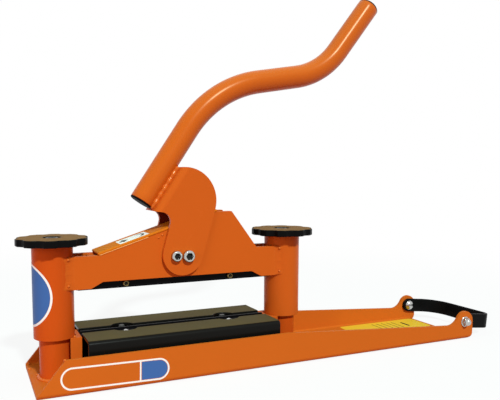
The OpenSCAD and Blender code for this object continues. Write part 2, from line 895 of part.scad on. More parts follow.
// The two cheeks and the web seen from the side, as deep as asked
module clevis_side(depth) {
    lean = common_angle(clevis_end, clevis_end_r, clevis_top, clevis_top_r);
    foot = clevis_end + clevis_end_r * [cos(lean), sin(lean)];
    shoulder = clevis_top + clevis_top_r * [cos(lean), sin(lean)];
    back = touch(clevis_end, clevis_end_r, clevis_notch, 1);
    web_low = [web_start, web_out];
    web_high = [clevis_top[0] + sqrt(pow(clevis_top_r, 2) - pow(web_out - clevis_top[1], 2)), web_out];
    rod_y(2 * clevis_end_r, -depth / 2, depth / 2, clevis_end[0], clevis_end[1]);
    intersection() {
        rod_y(2 * clevis_top_r, -depth / 2, depth / 2, clevis_top[0], clevis_top[1]);
        translate([clevis_top[0], -depth, web_out - 2 * clevis_top_r])
            cube([2 * clevis_top_r, 2 * depth, 2 * clevis_top_r]);
    }
    along_y(depth) polygon([foot, shoulder, web_high, web_low, clevis_notch, back, clevis_end]);
    corner_fill(clevis_notch, unit(back - clevis_notch), unit(web_low - clevis_notch), clevis_notch_r,
        depth);
}

module lever_clevis() {
    span = clevis_end_r + clevis_top_r;
    height = web_out + span;
    color(PAINT) in_lever() difference() {
        intersection() {
            along_x(-span, 2 * span) translate([0, web_out]) mirror([0, 1]) difference() {
                floor_rounded(2 * cheek_out, height, clevis_bend_r);
                translate([0, clevis_t])
                    floor_rounded(2 * cheek_in, height, clevis_bend_r - clevis_t);
            }
            clevis_side(2 * (cheek_out + overrun));
        }
        rod_y(pivot_bush_d, -base_w, base_w, 0, 0);
        rod_y(crank_bolt_d, -base_w, base_w, crank_x, crank_z);
    }
}

module pivot_bushes() {
    color(BRONZE) for (yside = [-1, 1]) on_side(yside) difference() {
        rod_y(pivot_bush_d, -cheek_out, -cheek_in, pivot_x, pivot_z);
        rod_y(pivot_shoulder_d + 2 * run_gap, -base_w, 0, pivot_x, pivot_z);
    }
}

module crank_bolt() {
    color(STEEL) in_lever()
        cap_bolt(crank_bolt_d, crank_head_d, crank_head_t, -cheek_out, cheek_out + crank_nut_t,
            crank_x, crank_z);
}

module crank_nut() {
    color(STEEL) in_lever()
        nut_y(crank_nut_d, crank_bolt_d, cheek_out, cheek_out + crank_nut_t, crank_x, crank_z);
}

module crank_roller() {
    color(STEEL) in_lever() difference() {
        rod_y(roller_d, -roller_half_l, roller_half_l, crank_x, crank_z);
        rod_y(crank_bolt_d, -base_w, base_w, crank_x, crank_z);
    }
}

// Carry handle

module in_handle() { translate([ear_x, 0, ear_z]) rotate([0, strap_droop, 0]) children(); }

// The strap seen from above: a bow open towards the bolts
module strap_plan(half_w, reach, r) {
    start = strap_h;
    translate([-start, -half_w]) square([reach + start - r, 2 * half_w]);
    translate([-start, r - half_w]) square([reach + start, 2 * (half_w - r)]);
    for (side = [-1, 1]) translate([reach - r, side * (half_w - r)]) circle(r);
}

module carry_handle() {
    color(BLACK) in_handle() difference() {
        intersection() {
            translate([0, 0, -strap_h]) linear_extrude(2 * strap_h) difference() {
                strap_plan(strap_out, strap_reach, strap_corner_r);
                strap_plan(strap_in, strap_reach - strap_t, strap_corner_r - strap_t);
            }
            along_y(base_w) {
                circle(d = strap_h);
                translate([0, -strap_h / 2]) square([strap_reach + overrun, strap_h]);
            }
        }
        rod_y(handle_bolt_d + 2 * run_gap, -base_w, base_w, 0, 0);
    }
}

module handle_bolts() {
    head_in = strap_in - side_gap;
    cap = pow(handle_head_d / 2, 2) / (2 * handle_head_t) + handle_head_t / 2;
    color(STEEL) for (yside = [-1, 1]) on_side(yside) {
        rod_y(handle_bolt_d, -base_w / 2 - handle_nut_t, -head_in, ear_x, ear_z);
        intersection() {
            translate([ear_x, handle_head_t - head_in - cap, ear_z]) sphere(cap);
            rod_y(handle_head_d, -head_in, handle_head_t - head_in, ear_x, ear_z);
        }
    }
}

module handle_nuts() {
    out = base_w / 2;
    color(STEEL) for (yside = [-1, 1]) on_side(yside) {
        nut_y(handle_nut_d, handle_bolt_d, -out - handle_nut_t, -out, ear_x, ear_z);
        difference() {
            translate([ear_x, -out - handle_nut_t, ear_z]) sphere(handle_dome_r);
            rod_y(base_w, -out - handle_nut_t, base_w, ear_x, ear_z);
        }
    }
}

base_channel();
post(-1);  // left_post
post(1);  // right_post
blade_bracket(-1);  // left_blade_bracket
blade_bracket(1);  // right_blade_bracket
anvil_beam();
lower_blade();
lower_blade_bolts();
lower_blade_nuts();
spindle_nut(-1);  // left_spindle_nut
spindle_nut(1);  // right_spindle_nut
support_guide_sockets();
support_springs(-1);  // front_support_springs
support_springs(1);  // rear_support_springs
handle_bolts();
handle_nuts();
support(-1);  // front_support
guide_pins(-1);  // front_guide_pins
support(1);  // rear_support
guide_pins(1);  // rear_guide_pins
sleeve(-1);  // left_sleeve
sleeve(1);  // right_sleeve
guide_bushes(-1);  // left_guide_bushes
guide_bushes(1);  // right_guide_bushes
sleeve_cap(-1);  // left_sleeve_cap
sleeve_cap(1);  // right_sleeve_cap
bridge_plate(-1);  // front_bridge_plate
bridge_plate(1);  // rear_bridge_plate
slope_strip();
guide_block(-1);  // left_guide_block
guide_block(1);  // right_guide_block
pivot_bolts();
pivot_washers();
knob(-1);  // left_knob
spindle(-1);  // left_spindle
collar(-1);  // left_collar
knob_bolt(-1);  // left_knob_bolt
thrust_washer(-1);  // left_thrust_washer
knob(1);  // right_knob
spindle(1);  // right_spindle
collar(1);  // right_collar
knob_bolt(1);  // right_knob_bolt
thrust_washer(1);  // right_thrust_washer
press_bar();
upper_blade();
upper_blade_bolts();
upper_blade_nuts();
lever_tube();
lever_clevis();
lower_tube_plug();
upper_tube_plug();
pivot_bushes();
crank_bolt();
crank_nut();
crank_roller();
carry_handle();
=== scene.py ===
"""Looks of a hand-lever masonry block splitter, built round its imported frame.

Lengths are metres in the part's own frame: X runs along the base towards the tail, Y from the front to the back and
Z up. Sizes that a maker would give in millimetres are written so and multiplied by MM.
"""

import json
import logging
import math
from dataclasses import dataclass, replace
from enum import Enum
from typing import Optional, Sequence

import bmesh
import bpy
import numpy as np
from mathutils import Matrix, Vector


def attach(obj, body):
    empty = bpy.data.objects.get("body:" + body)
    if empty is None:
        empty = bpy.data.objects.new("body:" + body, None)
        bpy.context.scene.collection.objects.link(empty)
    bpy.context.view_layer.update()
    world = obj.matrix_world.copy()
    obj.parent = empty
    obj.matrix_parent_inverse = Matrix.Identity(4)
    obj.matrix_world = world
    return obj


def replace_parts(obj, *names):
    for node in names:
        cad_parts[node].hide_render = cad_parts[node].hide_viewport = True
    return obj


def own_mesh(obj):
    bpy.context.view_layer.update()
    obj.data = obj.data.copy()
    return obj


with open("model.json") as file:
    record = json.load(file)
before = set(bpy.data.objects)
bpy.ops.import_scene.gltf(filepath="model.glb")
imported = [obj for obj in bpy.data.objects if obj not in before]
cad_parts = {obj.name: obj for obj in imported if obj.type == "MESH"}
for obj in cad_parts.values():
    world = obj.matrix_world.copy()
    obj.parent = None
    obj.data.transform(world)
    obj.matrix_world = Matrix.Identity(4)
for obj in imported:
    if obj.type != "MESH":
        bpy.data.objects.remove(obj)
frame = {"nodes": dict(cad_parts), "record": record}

Array = np.ndarray
Colour = tuple[float, float, float]
Pair = tuple[float, float]
Triple = tuple[float, float, float]
Vec = Sequence[float]
Piece = bpy.types.Object
Material = bpy.types.Material
Tree = bpy.types.NodeTree
Node = bpy.types.Node
Socket = bpy.types.NodeSocket

MM = 0.001
FULL_TURN = 2 * math.pi
QUARTER = math.pi / 2
FRONT_BACK = (-1, 1)
LEFT_RIGHT = (-1, 1)
ALONG_Y = (0.0, 1.0, 0.0)
ALONG_Z = (0.0, 0.0, 1.0)
JOIN = 2e-6
NO_LENGTH = 1e-7
FLAT_DEG = 0.5
BEVEL_FROM_DEG = 34.0
EASE_SHARE = 0.45
ROUND_STEPS = 48
HEX_FLAT = math.cos(math.pi / 6)
LOG = logging.getLogger("block_splitter")


class Sharp(Enum):
    """How far an edge may turn, in degrees, before it stays sharp."""

    CRISP = 30.0
    NUT = 40.0
    MOULDED = 50.0
    FLOWING = 60.0
    NONE = 180.0


class Body(Enum):
    """The rigid bodies that pieces ride on."""

    BASE = "base"
    FRONT_SUPPORT = "front_support"
    REAR_SUPPORT = "rear_support"
    BRIDGE = "bridge"
    LEFT_KNOB = "left_knob"
    RIGHT_KNOB = "right_knob"
    PRESS = "press"
    LEVER = "lever"
    HANDLE = "carry_handle"


class Slot(Enum):
    """The record's material slots."""

    ORANGE = "orange_paint"
    BLACK = "black_paint"
    ZINC = "zinc_steel"
    YELLOW = "yellow_zinc"
    BRONZE = "bronze"
    SPRING = "spring_steel"
    PLASTIC = "black_plastic"
    STRAP = "strap_plastic"


class Effect(Enum):
    """The shader effects that several finishes share."""

    PEEL = "paint_peel"
    DRIFT = "tone_drift"
    # A painted highlight along outer edges.
    EDGE_HIGHLIGHT = "painted_edge_highlight"
    # A painted reflection on faces that look up.
    TOP_SHEEN = "painted_top_sheen"
    GRAIN = "metal_grain"


def srgb(red: float, green: float, blue: float) -> Colour:
    """Linear colour of a display colour given from 0 to 255: the usual display curve, undone.

    Args:
        red: red from 0 to 255.
        green: green from 0 to 255.
        blue: blue from 0 to 255.

    Returns:
        The linear colour.
    """
    c = np.array([red, green, blue]) / 255.0
    linear = np.where(c <= 0.04045, c / 12.92, ((c + 0.055) / 1.055) ** 2.4)
    return tuple(float(v) for v in linear)


# Surfaces


@dataclass
class Grid:
    """A sheet of points in rows and columns, which may close on itself either way."""

    points: Array
    wrap_rows: bool = False
    wrap_cols: bool = True

    def quads(self, first: int) -> Array:
        """Four corner numbers of each face: point (i, j) has the number first + i * columns + j.

        Args:
            first: number of the grid's first point.

        Returns:
            An array of faces.
        """
        rows, cols = self.points.shape[:2]
        i, j = np.meshgrid(
            np.arange(rows - (not self.wrap_rows)), np.arange(cols - (not self.wrap_cols)), indexing="ij"
        )
        up, on = (i + 1) % rows, (j + 1) % cols
        return first + np.stack([i * cols + j, i * cols + on, up * cols + on, up * cols + j], -1).reshape(-1, 4)


def finish_mesh(mesh: bpy.types.Mesh, sharp: Sharp, flat_seams: bool = False) -> None:
    """Join doubled points, close seams and poles, point faces outwards and shade smooth between sharp edges.

    Args:
        mesh: the mesh to finish.
        sharp: how far an edge may turn before it stays sharp.
        flat_seams: whether seams between triangles of one plane are dissolved.
    """
    bm = bmesh.new()
    bm.from_mesh(mesh)
    bmesh.ops.remove_doubles(bm, verts=bm.verts, dist=JOIN)
    bmesh.ops.dissolve_degenerate(bm, edges=bm.edges, dist=NO_LENGTH)
    if flat_seams:
        bmesh.ops.dissolve_limit(bm, angle_limit=math.radians(FLAT_DEG), verts=bm.verts, edges=bm.edges)
    bmesh.ops.recalc_face_normals(bm, faces=bm.faces)
    bm.to_mesh(mesh)
    bm.free()
    mesh.polygons.foreach_set("use_smooth", np.ones(len(mesh.polygons), bool))
    mesh.set_sharp_from_angle(angle=math.radians(sharp.value))
    mesh.update()


def placed(name: str, points: Array, faces: Array) -> Piece:
    """A new object at the origin.

    Args:
        name: its name and its mesh's.
        points: the corners, one row each.
        faces: numbers of the corners of each face.

    Returns:
        The object, in the scene.
    """
    mesh = bpy.data.meshes.new(name)
    mesh.from_pydata(points.tolist(), [], faces.tolist())
    piece = bpy.data.objects.new(name, mesh)
    bpy.context.scene.collection.objects.link(piece)
    return piece


def make_piece(name: str, grids: Sequence[Grid], sharp: Sharp) -> Piece:
    """Put grids together as one closed piece.

    Args:
        name: the piece's name.
        grids: its sheets.
        sharp: how far an edge may turn before it stays sharp.

    Returns:
        The new object.
    """
    starts = np.cumsum([0] + [g.points[..., 0].size for g in grids])
    points = np.concatenate([g.points.reshape(-1, 3) for g in grids])
    faces = np.concatenate([g.quads(int(s)) for g, s in zip(grids, starts)])
    piece = placed(name, points, faces)
    finish_mesh(piece.data, sharp)
    return piece


def softened(node: str, width: float, segments: int = 2) -> Piece:
    """Copy a solid's triangles, join their corners and round the sharp edges with a narrow bevel.

    Args:
        node: the solid's name.
        width: width of the bevel.
        segments: faces across the bevel.

    Returns:
        The new object, which stands for the solid.
    """
    source = frame["nodes"][node].data
    corners = np.empty(len(source.vertices) * 3)
    source.vertices.foreach_get("co", corners)
    loops = np.empty(len(source.loops), np.int64)
    source.loops.foreach_get("vertex_index", loops)
    points, number = np.unique(np.round(corners.reshape(-1, 3), 7), axis=0, return_inverse=True)
    faces = number.reshape(-1)[loops].reshape(-1, 3)
    faces = faces[(np.diff(np.sort(faces, axis=1), axis=1) > 0).all(axis=1)]
    piece = placed(node + "_skin", points, faces)
    finish_mesh(piece.data, Sharp.NONE, flat_seams=True)
    bevel = piece.modifiers.new("edge", "BEVEL")
    bevel.width = width
    bevel.segments = segments
    bevel.limit_method = "ANGLE"
    bevel.angle_limit = math.radians(BEVEL_FROM_DEG)
    bevel.miter_outer = "MITER_ARC"
    piece.modifiers.new("shade", "WEIGHTED_NORMAL").keep_sharp = False
    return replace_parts(piece, node)


def eased(points: Sequence[Sequence[float]], ease: float, steps: int = 4) -> Array:
    """Round the corners of an open outline: a quadratic curve from ease before each corner to ease after it.

    Args:
        points: the outline's corners.
        ease: length taken from each side of a corner, at most 45 % of that side.
        steps: points on each curve.

    Returns:
        The rounded outline.
    """
    p = np.asarray(points, float)
    corner = p[1:-1]
    ends = []
    for other in (p[:-2], p[2:]):
        side = other - corner
        length = np.linalg.norm(side, axis=1, keepdims=True)
        ends.append(corner + side / length * np.minimum(ease, EASE_SHARE * length))
    t = np.linspace(0.0, 1.0, steps)[None, :, None]
    curves = (1 - t) ** 2 * ends[0][:, None] + 2 * t * (1 - t) * corner[:, None] + t**2 * ends[1][:, None]
    return np.concatenate([p[:1], curves.reshape(-1, p.shape[1]), p[-1:]])


def side_axes(axis: Vec) -> tuple[Array, Array, Array]:
    """A unit axis and two unit directions square to it.

    Args:
        axis: the axis, of any length.

    Returns:
        The axis and the two directions.
    """
    w = np.asarray(axis, float)
    w = w / np.linalg.norm(w)
    u = np.cross(w, ALONG_Z if abs(w[2]) < 0.9 else (1.0, 0.0, 0.0))
    u = u / np.linalg.norm(u)
    return w, u, np.cross(w, u)


def spun(radii: Array, heights: Array, origin: Vec, axis: Vec) -> Grid:
    """Turn rows of radii about an axis: origin + h axis + r (cos t u + sin t v), t once round.

    Args:
        radii: radius of each row, or of each row and angle.
        heights: height of each row along the axis.
        origin: point where the height is zero.
        axis: the axis.

    Returns:
        The turned sheet.
    """
    w, u, v = side_axes(axis)
    steps = radii.shape[1] if radii.ndim == 2 else ROUND_STEPS
    t = np.linspace(0.0, FULL_TURN, steps, endpoint=False)
    r = radii if radii.ndim == 2 else np.repeat(radii[:, None], steps, axis=1)
    ring = np.cos(t)[:, None] * u + np.sin(t)[:, None] * v
    return Grid(np.asarray(origin) + heights[:, None, None] * w + r[..., None] * ring)


def swept(path: Array, across: Array, up: Array, outline: Array, closed: bool = False) -> Grid:
    """Carry an outline along a path: path + outline x across + outline z up.

    Args:
        path: points of the path.
        across: direction of the outline's first number at each point.
        up: direction of its second number.
        outline: points of the outline, the same all along or one set for each point of the path.
        closed: whether the path ends where it starts.

    Returns:
        The swept sheet.
    """
    o = outline if outline.ndim == 3 else np.broadcast_to(outline, (len(path),) + outline.shape)
    points = path[:, None] + o[..., 0:1] * across[:, None] + o[..., 1:2] * up[:, None]
    return Grid(points, wrap_rows=closed)


def slab(top: Array, thickness: Array) -> list[Grid]:
    """A thin film: a sheet of points, the same sheet set back by a thickness, and the strip between their rims.

    Args:
        top: points of the outer sheet in rows and columns.
        thickness: step from the outer sheet to the inner one, for all points or each.

    Returns:
        The sheets, which close when their doubled points are joined.
    """
    back = top - thickness
    rim = [np.concatenate([s[0], s[1:, -1], s[-1, -2::-1], s[-2:0:-1, 0]]) for s in (top, back)]
    return [Grid(top, wrap_cols=False), Grid(back, wrap_cols=False), Grid(np.stack(rim))]


def weld_bead(path: Array, across: Array, up: Array, radius: float, seed: int, closed: bool = False,
              drop: float = 1.5, swell: float = 0.075) -> Grid:
    """A laid bead: a round rod whose radius swells with each drop, r (1 + a cos(2 pi s / pitch - lag cos phi)).

    The lag makes the drops crescents, a slow random walk makes them uneven, and open ends taper to a point as
    sqrt(1 - (1 - d / r)^2) with the distance d from the end.

    Args:
        path: points along the middle of the bead.
        across: direction along the carrier at each point.
        up: direction away from the carrier at each point.
        radius: mean radius.
        seed: seed of the random walk.
        closed: whether the bead runs round a closed path.
        drop: length of one drop as a share of the radius.
        swell: how far a drop swells as a share of the radius.

    Returns:
        The bead's sheet.
    """
    pitch, lag, sides, knots, uneven, taper = drop * radius, 1.1, 14, 12, 0.08, 1.6
    s = np.concatenate([[0.0], np.cumsum(np.linalg.norm(np.diff(path, axis=0), axis=1))])
    walk = np.interp(s, np.linspace(0, s[-1], knots), np.random.default_rng(seed).uniform(-uneven, uneven, knots))
    phi = np.linspace(0.0, FULL_TURN, sides, endpoint=False)
    ripple = np.cos(FULL_TURN * s[:, None] / pitch - lag * np.cos(phi))
    r = radius * (1 + walk[:, None] + swell * ripple)
    if not closed:
        d = np.clip(np.minimum(s, s[-1] - s) / (taper * radius), 0.0, 1.0)
        r = r * np.sqrt(1 - (1 - d) ** 2)[:, None]
    outline = np.stack([r * np.cos(phi), r * np.sin(phi)], -1)
    return swept(path, across, up, outline, closed)


def weld_drop(seat: Vec, out: Vec, radius: float) -> Grid:
    """A drop of weld: the ellipsoid r cos a across and 0.8 r sin a outwards.

    Args:
        seat: its middle, in millimetres.
        out: the direction away from the carrier.
        radius: its half width, in millimetres.

    Returns:
        The closed sheet.
    """
    a = np.linspace(-QUARTER, QUARTER, 16)
    return spun(radius * np.cos(a) * MM, 0.8 * radius * np.sin(a) * MM, np.asarray(seat) * MM, out)


def lathe(rows: Array, seat: Vec, out: Vec) -> Grid:
    """Turn rows of radius and height, given in millimetres, about a seat in metres."""
    return spun(rows[:, 0] * MM, rows[:, 1] * MM, seat, out)


def six_sided(apothem: float, steps: int) -> Array:
    """Radius of a hexagon at even steps round it: apothem / cos(t mod 60 - 30)."""
    t = np.linspace(0.0, 360.0, steps, endpoint=False)
    return apothem / np.cos(np.radians(np.mod(t, 60.0) - 30.0))


def along(start: Vec, end: Vec, count: int) -> Array:
    """Evenly spaced points on a straight line."""
    t = np.linspace(0.0, 1.0, count)[:, None]
    return np.asarray(start) * (1 - t) + np.asarray(end) * t


def every(direction: Vec, count: int) -> Array:
    """One direction repeated."""
    return np.broadcast_to(np.asarray(direction, float), (count, 3))


# Finishes


class ShaderGroups:
    """The shared effects, each made once as a node group that reads Object coordinates."""

    def __init__(self) -> None:
        """Start with no group made."""
        self.made: dict[Effect, Tree] = {}

    def get(self, effect: Effect) -> Tree:
        """The group of an effect, made on first use.

        Args:
            effect: the effect.

        Returns:
            Its node tree.
        """
        if effect not in self.made:
            tree = bpy.data.node_groups.new(effect.value, "ShaderNodeTree")
            {
                Effect.PEEL: self.peel,
                Effect.DRIFT: self.drift,
                Effect.EDGE_HIGHLIGHT: self.edge_highlight,
                Effect.TOP_SHEEN: self.film,
                Effect.GRAIN: self.grain,
            }[effect](tree)
            self.made[effect] = tree
        return self.made[effect]

    @staticmethod
    def sockets(tree: Tree, given: dict[str, float], out: str) -> tuple[Node, Socket]:
        """Name a group's inputs and its output.

        Args:
            tree: the group.
            given: input names with their usual values.
            out: the output's name.

        Returns:
            The group's input node and the socket that takes its result.
        """
        for name, value in given.items():
            tree.interface.new_socket(name, in_out="INPUT", socket_type="NodeSocketFloat").default_value = value
        tree.interface.new_socket(out, in_out="OUTPUT", socket_type="NodeSocketFloat")
        return tree.nodes.new("NodeGroupInput"), tree.nodes.new("NodeGroupOutput").inputs[out]

    def peel(self, tree: Tree) -> None:
        """Height of sprayed paint: a fine noise on a coarser one.

        Args:
            tree: the group's node tree.
        """
        given, out = self.sockets(tree, {"Scale": 700.0}, "Height")
        coarse = calc(tree, "MULTIPLY", given.outputs["Scale"], 0.22)
        fine_noise, coarse_noise = noise(tree, given.outputs["Scale"], 2.0), noise(tree, coarse, 2.0)
        tree.links.new(calc(tree, "ADD", fine_noise, coarse_noise), out)

    def drift(self, tree: Tree) -> None:
        """A factor round one that wanders slowly over the surface, for tone and gloss.

        Args:
            tree: the group's node tree.
        """
        given, out = self.sockets(tree, {"Scale": 14.0, "Amount": 0.05}, "Factor")
        centred = calc(tree, "SUBTRACT", noise(tree, given.outputs["Scale"], 5.0, Roughness=0.6), 0.5)
        tree.links.new(calc(tree, "MULTIPLY_ADD", centred, given.outputs["Amount"], 1.0), out)

    def edge_highlight(self, tree: Tree) -> None:
        """A painted highlight along outer edges: a mask where the rounded normal leaves the true one, broken up by
        noise.

        Args:
            tree: the group's node tree.
        """
        given, out = self.sockets(tree, {"Radius": 0.0012, "Amount": 0.5}, "Mask")
        rounded = put(tree, "ShaderNodeBevel", {"Radius": given.outputs["Radius"]}, samples=4).outputs[0]
        true = put(tree, "ShaderNodeNewGeometry").outputs["Normal"]
        edge = ranged(tree, dot(tree, rounded, true), (0.985, 0.86), (0.0, 1.0))
        grit = ranged(tree, noise(tree, 160.0, 4.0), (0.42, 0.62), (0.15, 1.0))
        lit_edge = calc(tree, "MULTIPLY", edge, grit)
        tree.links.new(calc(tree, "MULTIPLY", lit_edge, given.outputs["Amount"]), out)

    def film(self, tree: Tree) -> None:
        """A mask of faces that look up, a little cloudy, for a painted reflection that lightens their tops.

        Args:
            tree: the group's node tree.
        """
        given, out = self.sockets(tree, {"Amount": 1.0}, "Mask")
        normal = put(tree, "ShaderNodeNewGeometry").outputs["Normal"]
        height = put(tree, "ShaderNodeSeparateXYZ", {0: normal}).outputs["Z"]
        flat = ranged(tree, height, (0.9, 0.995), (0.0, 1.0))
        cloud = ranged(tree, noise(tree, 38.0, 6.0), (0.3, 0.7), (0.82, 1.0))
        top_sheen = calc(tree, "MULTIPLY", flat, cloud)
        tree.links.new(calc(tree, "MULTIPLY", top_sheen, given.outputs["Amount"]), out)

    def grain(self, tree: Tree) -> None:
        """Fine turning lines: noise drawn out along two directions.

        Args:
            tree: the group's node tree.
        """
        given, out = self.sockets(tree, {"Scale": 500.0}, "Value")
        drawn = put(tree, "ShaderNodeMapping", {"Vector": object_place(tree), "Scale": (0.12, 1.0, 0.12)}).outputs[0]
        lines = put(tree, "ShaderNodeTexNoise", {"Vector": drawn, "Scale": given.outputs["Scale"], "Detail": 3.0})
        tree.links.new(lines.outputs["Fac"], out)


GROUPS = ShaderGroups()


def put(tree: Tree, kind: str, given: Optional[dict] = None, **settings: object) -> Node:
    """Add a node and fill its inputs, with a value or a link from a socket.

    Args:
        tree: the tree that gets the node.
        kind: Blender's name of the node type.
        given: input names or numbers with their values or source sockets.
        settings: the node's own settings.

    Returns:
        The new node.
    """
    node = tree.nodes.new(kind)
    for name, value in settings.items():
        setattr(node, name, value)
    for name, value in (given or {}).items():
        if isinstance(value, Socket):
            tree.links.new(value, node.inputs[name])
        else:
            node.inputs[name].default_value = value
    return node


def put_group(tree: Tree, effect: Effect, **given: float) -> Socket:
    """Place a shared effect in a material with its own values, and give its output."""
    return put(tree, "ShaderNodeGroup", given, node_tree=GROUPS.get(effect)).outputs[0]


def object_place(tree: Tree) -> Socket:
    """The Object coordinates."""
    return put(tree, "ShaderNodeTexCoord").outputs["Object"]


def calc(tree: Tree, operation: str, *given: float | Socket) -> Socket:
    """The result of a Math node."""
    return put(tree, "ShaderNodeMath", dict(enumerate(given)), operation=operation).outputs[0]


def dot(tree: Tree, first: object, second: object) -> Socket:
    """How far one direction points along another."""
    return put(tree, "ShaderNodeVectorMath", {0: first, 1: second}, operation="DOT_PRODUCT").outputs["Value"]


def noise(tree: Tree, scale: float | Socket, detail: float, **given: float) -> Socket:
    """Noise on Object coordinates, mostly between 0.3 and 0.7."""
    values = {"Vector": object_place(tree), "Scale": scale, "Detail": detail, **given}
    return put(tree, "ShaderNodeTexNoise", values).outputs["Fac"]


def ranged(tree: Tree, value: Socket, start: Pair, end: Pair, **settings: str) -> Socket:
    """Carry a value from one range to another and hold it inside.

    Args:
        tree: the tree that gets the node.
        value: the value.
        start: the range that it comes from.
        end: the range that it goes to.
        settings: the node's own settings.

    Returns:
        The new value.
    """
    given = {"Value": value, "From Min": start[0], "From Max": start[1], "To Min": end[0], "To Max": end[1]}
    return put(tree, "ShaderNodeMapRange", given, **settings).outputs[0]


def mixed(tree: Tree, first: object, second: object, factor: Socket) -> Socket:
    """Mix two colours by a mask.

    Args:
        tree: the material's tree.
        first: colour or socket where the mask is zero.
        second: colour or socket where the mask is one.
        factor: the mask.

    Returns:
        The mixed colour.
    """
    colours = [c if isinstance(c, Socket) else (*c, 1.0) for c in (first, second)]
    given = {"Factor": factor, 6: colours[0], 7: colours[1]}
    return put(tree, "ShaderNodeMix", given, data_type="RGBA").outputs[2]


def new_material(name: str) -> tuple[Material, Node]:
    """An empty material and its shader.

    Args:
        name: the material's name.

    Returns:
        The material and its Principled node.
    """
    material = bpy.data.materials.new(name)
    material.use_nodes = True
    return material, material.node_tree.nodes["Principled BSDF"]


def toned(tree: Tree, colour: Colour, scale: float, amount: float) -> Socket:
    """A colour whose brightness drifts over the surface.

    Args:
        tree: the material's tree.
        colour: the mean colour.
        scale: how fast the tone changes.
        amount: how far it goes.

    Returns:
        The drifting colour.
    """
    factor = put_group(tree, Effect.DRIFT, Scale=scale, Amount=amount)
    base = put(tree, "ShaderNodeRGB")
    base.outputs[0].default_value = (*colour, 1.0)
    scaled = put(tree, "ShaderNodeVectorMath", {0: base.outputs[0], "Scale": factor}, operation="SCALE")
    return scaled.outputs[0]


def drifting(tree: Tree, value: float, scale: float, amount: float) -> Socket:
    """A number that drifts over the surface, such as a roughness."""
    return calc(tree, "MULTIPLY", put_group(tree, Effect.DRIFT, Scale=scale, Amount=amount), value)


def bumped(tree: Tree, shader: Node, height: Socket, depth: float) -> None:
    """Let a height of some depth in metres bend the shader's normal."""
    bump = put(tree, "ShaderNodeBump", {"Height": height, "Distance": depth, "Strength": 1.0})
    tree.links.new(bump.outputs[0], shader.inputs["Normal"])


@dataclass(frozen=True)
class PaintedShade:
    """Painted shade inside a folded piece: a darker colour where its inside lies in shadow, sizes in metres."""

    colour: Colour
    half_y: float
    across: Triple
    depth: float

    def mask(self, tree: Tree) -> Socket:
        """One where abs(y) < half_y and the place along the direction across is below depth.

        Args:
            tree: the material's node tree.

        Returns:
            The mask.
        """
        place = object_place(tree)
        y = put(tree, "ShaderNodeSeparateXYZ", {0: place}).outputs["Y"]
        within = calc(tree, "LESS_THAN", calc(tree, "ABSOLUTE", y), self.half_y)
        below = calc(tree, "LESS_THAN", dot(tree, place, self.across), self.depth)
        return calc(tree, "MULTIPLY", within, below)


@dataclass(frozen=True)
class Coating:
    """A sprayed or moulded skin: paint, powder coat or plastic."""

    name: str
    colour: Colour
    roughness: float
    specular: float = 0.3
    peel_scale: float = 620.0
    peel_depth: float = 0.00001
    drift: float = 0.10
    drift_scale: float = 11.0
    gloss_drift: float = 0.35
    gloss_scale: float = 23.0
    # A painted highlight along outer edges, in a lighter colour.
    edge_highlight: float = 0.0
    edge_highlight_colour: Colour = (0.5, 0.5, 0.5)
    # A painted reflection on faces that look up, with its colour and roughness.
    film: float = 0.0
    top_sheen_colour: Colour = (0.1, 0.08, 0.05)
    top_roughness: float = 0.6
    glint: Colour = (1.0, 1.0, 1.0)
    # Painted shade: a darker colour over the masked inside of a folded piece.
    hollow: Optional[PaintedShade] = None

    def material(self) -> Material:
        """Build the material.

        Returns:
            The material with tone drift, a painted edge highlight, a painted reflection on top faces, peel and painted
            shade in a hollow.
        """
        material, shader = new_material(self.name)
        tree = material.node_tree
        colour = toned(tree, self.colour, self.drift_scale, self.drift)
        gloss = drifting(tree, self.roughness, self.gloss_scale, self.gloss_drift)
        # Painted reflection lightening the faces that look up.
        if self.film:
            top_sheen = put_group(tree, Effect.TOP_SHEEN, Amount=self.film)
            colour = mixed(tree, colour, self.top_sheen_colour, top_sheen)
            gloss = calc(tree, "MULTIPLY_ADD", top_sheen, self.top_roughness - self.roughness, gloss)
        # Painted highlight along outer edges.
        if self.edge_highlight:
            colour = mixed(tree, colour, self.edge_highlight_colour, put_group(tree, Effect.EDGE_HIGHLIGHT, Amount=self.edge_highlight))
        # Painted shade inside the hollow.
        if self.hollow:
            colour = mixed(tree, colour, self.hollow.colour, self.hollow.mask(tree))
        tree.links.new(colour, shader.inputs["Base Color"])
        tree.links.new(gloss, shader.inputs["Roughness"])
        bumped(tree, shader, put_group(tree, Effect.PEEL, Scale=self.peel_scale), self.peel_depth)
        shader.inputs["Specular IOR Level"].default_value = self.specular
        shader.inputs["Specular Tint"].default_value = (*self.glint, 1.0)
        return material


@dataclass(frozen=True)
class Metal:
    """A bare or plated metal with fine turning lines."""

    name: str
    colour: Colour
    roughness: float
    lines: float = 420.0
    depth: float = 0.000008
    drift: float = 0.16
    drift_scale: float = 60.0
    gloss_drift: float = 0.5
    gloss_scale: float = 90.0

    def material(self) -> Material:
        """Build the material.

        Returns:
            The material with tone drift and grain.
        """
        material, shader = new_material(self.name)
        tree = material.node_tree
        colour = toned(tree, self.colour, self.drift_scale, self.drift)
        gloss = drifting(tree, self.roughness, self.gloss_scale, self.gloss_drift)
        tree.links.new(colour, shader.inputs["Base Color"])
        tree.links.new(gloss, shader.inputs["Roughness"])
        bumped(tree, shader, put_group(tree, Effect.GRAIN, Scale=self.lines), self.depth)
        shader.inputs["Metallic"].default_value = 1.0
        return material


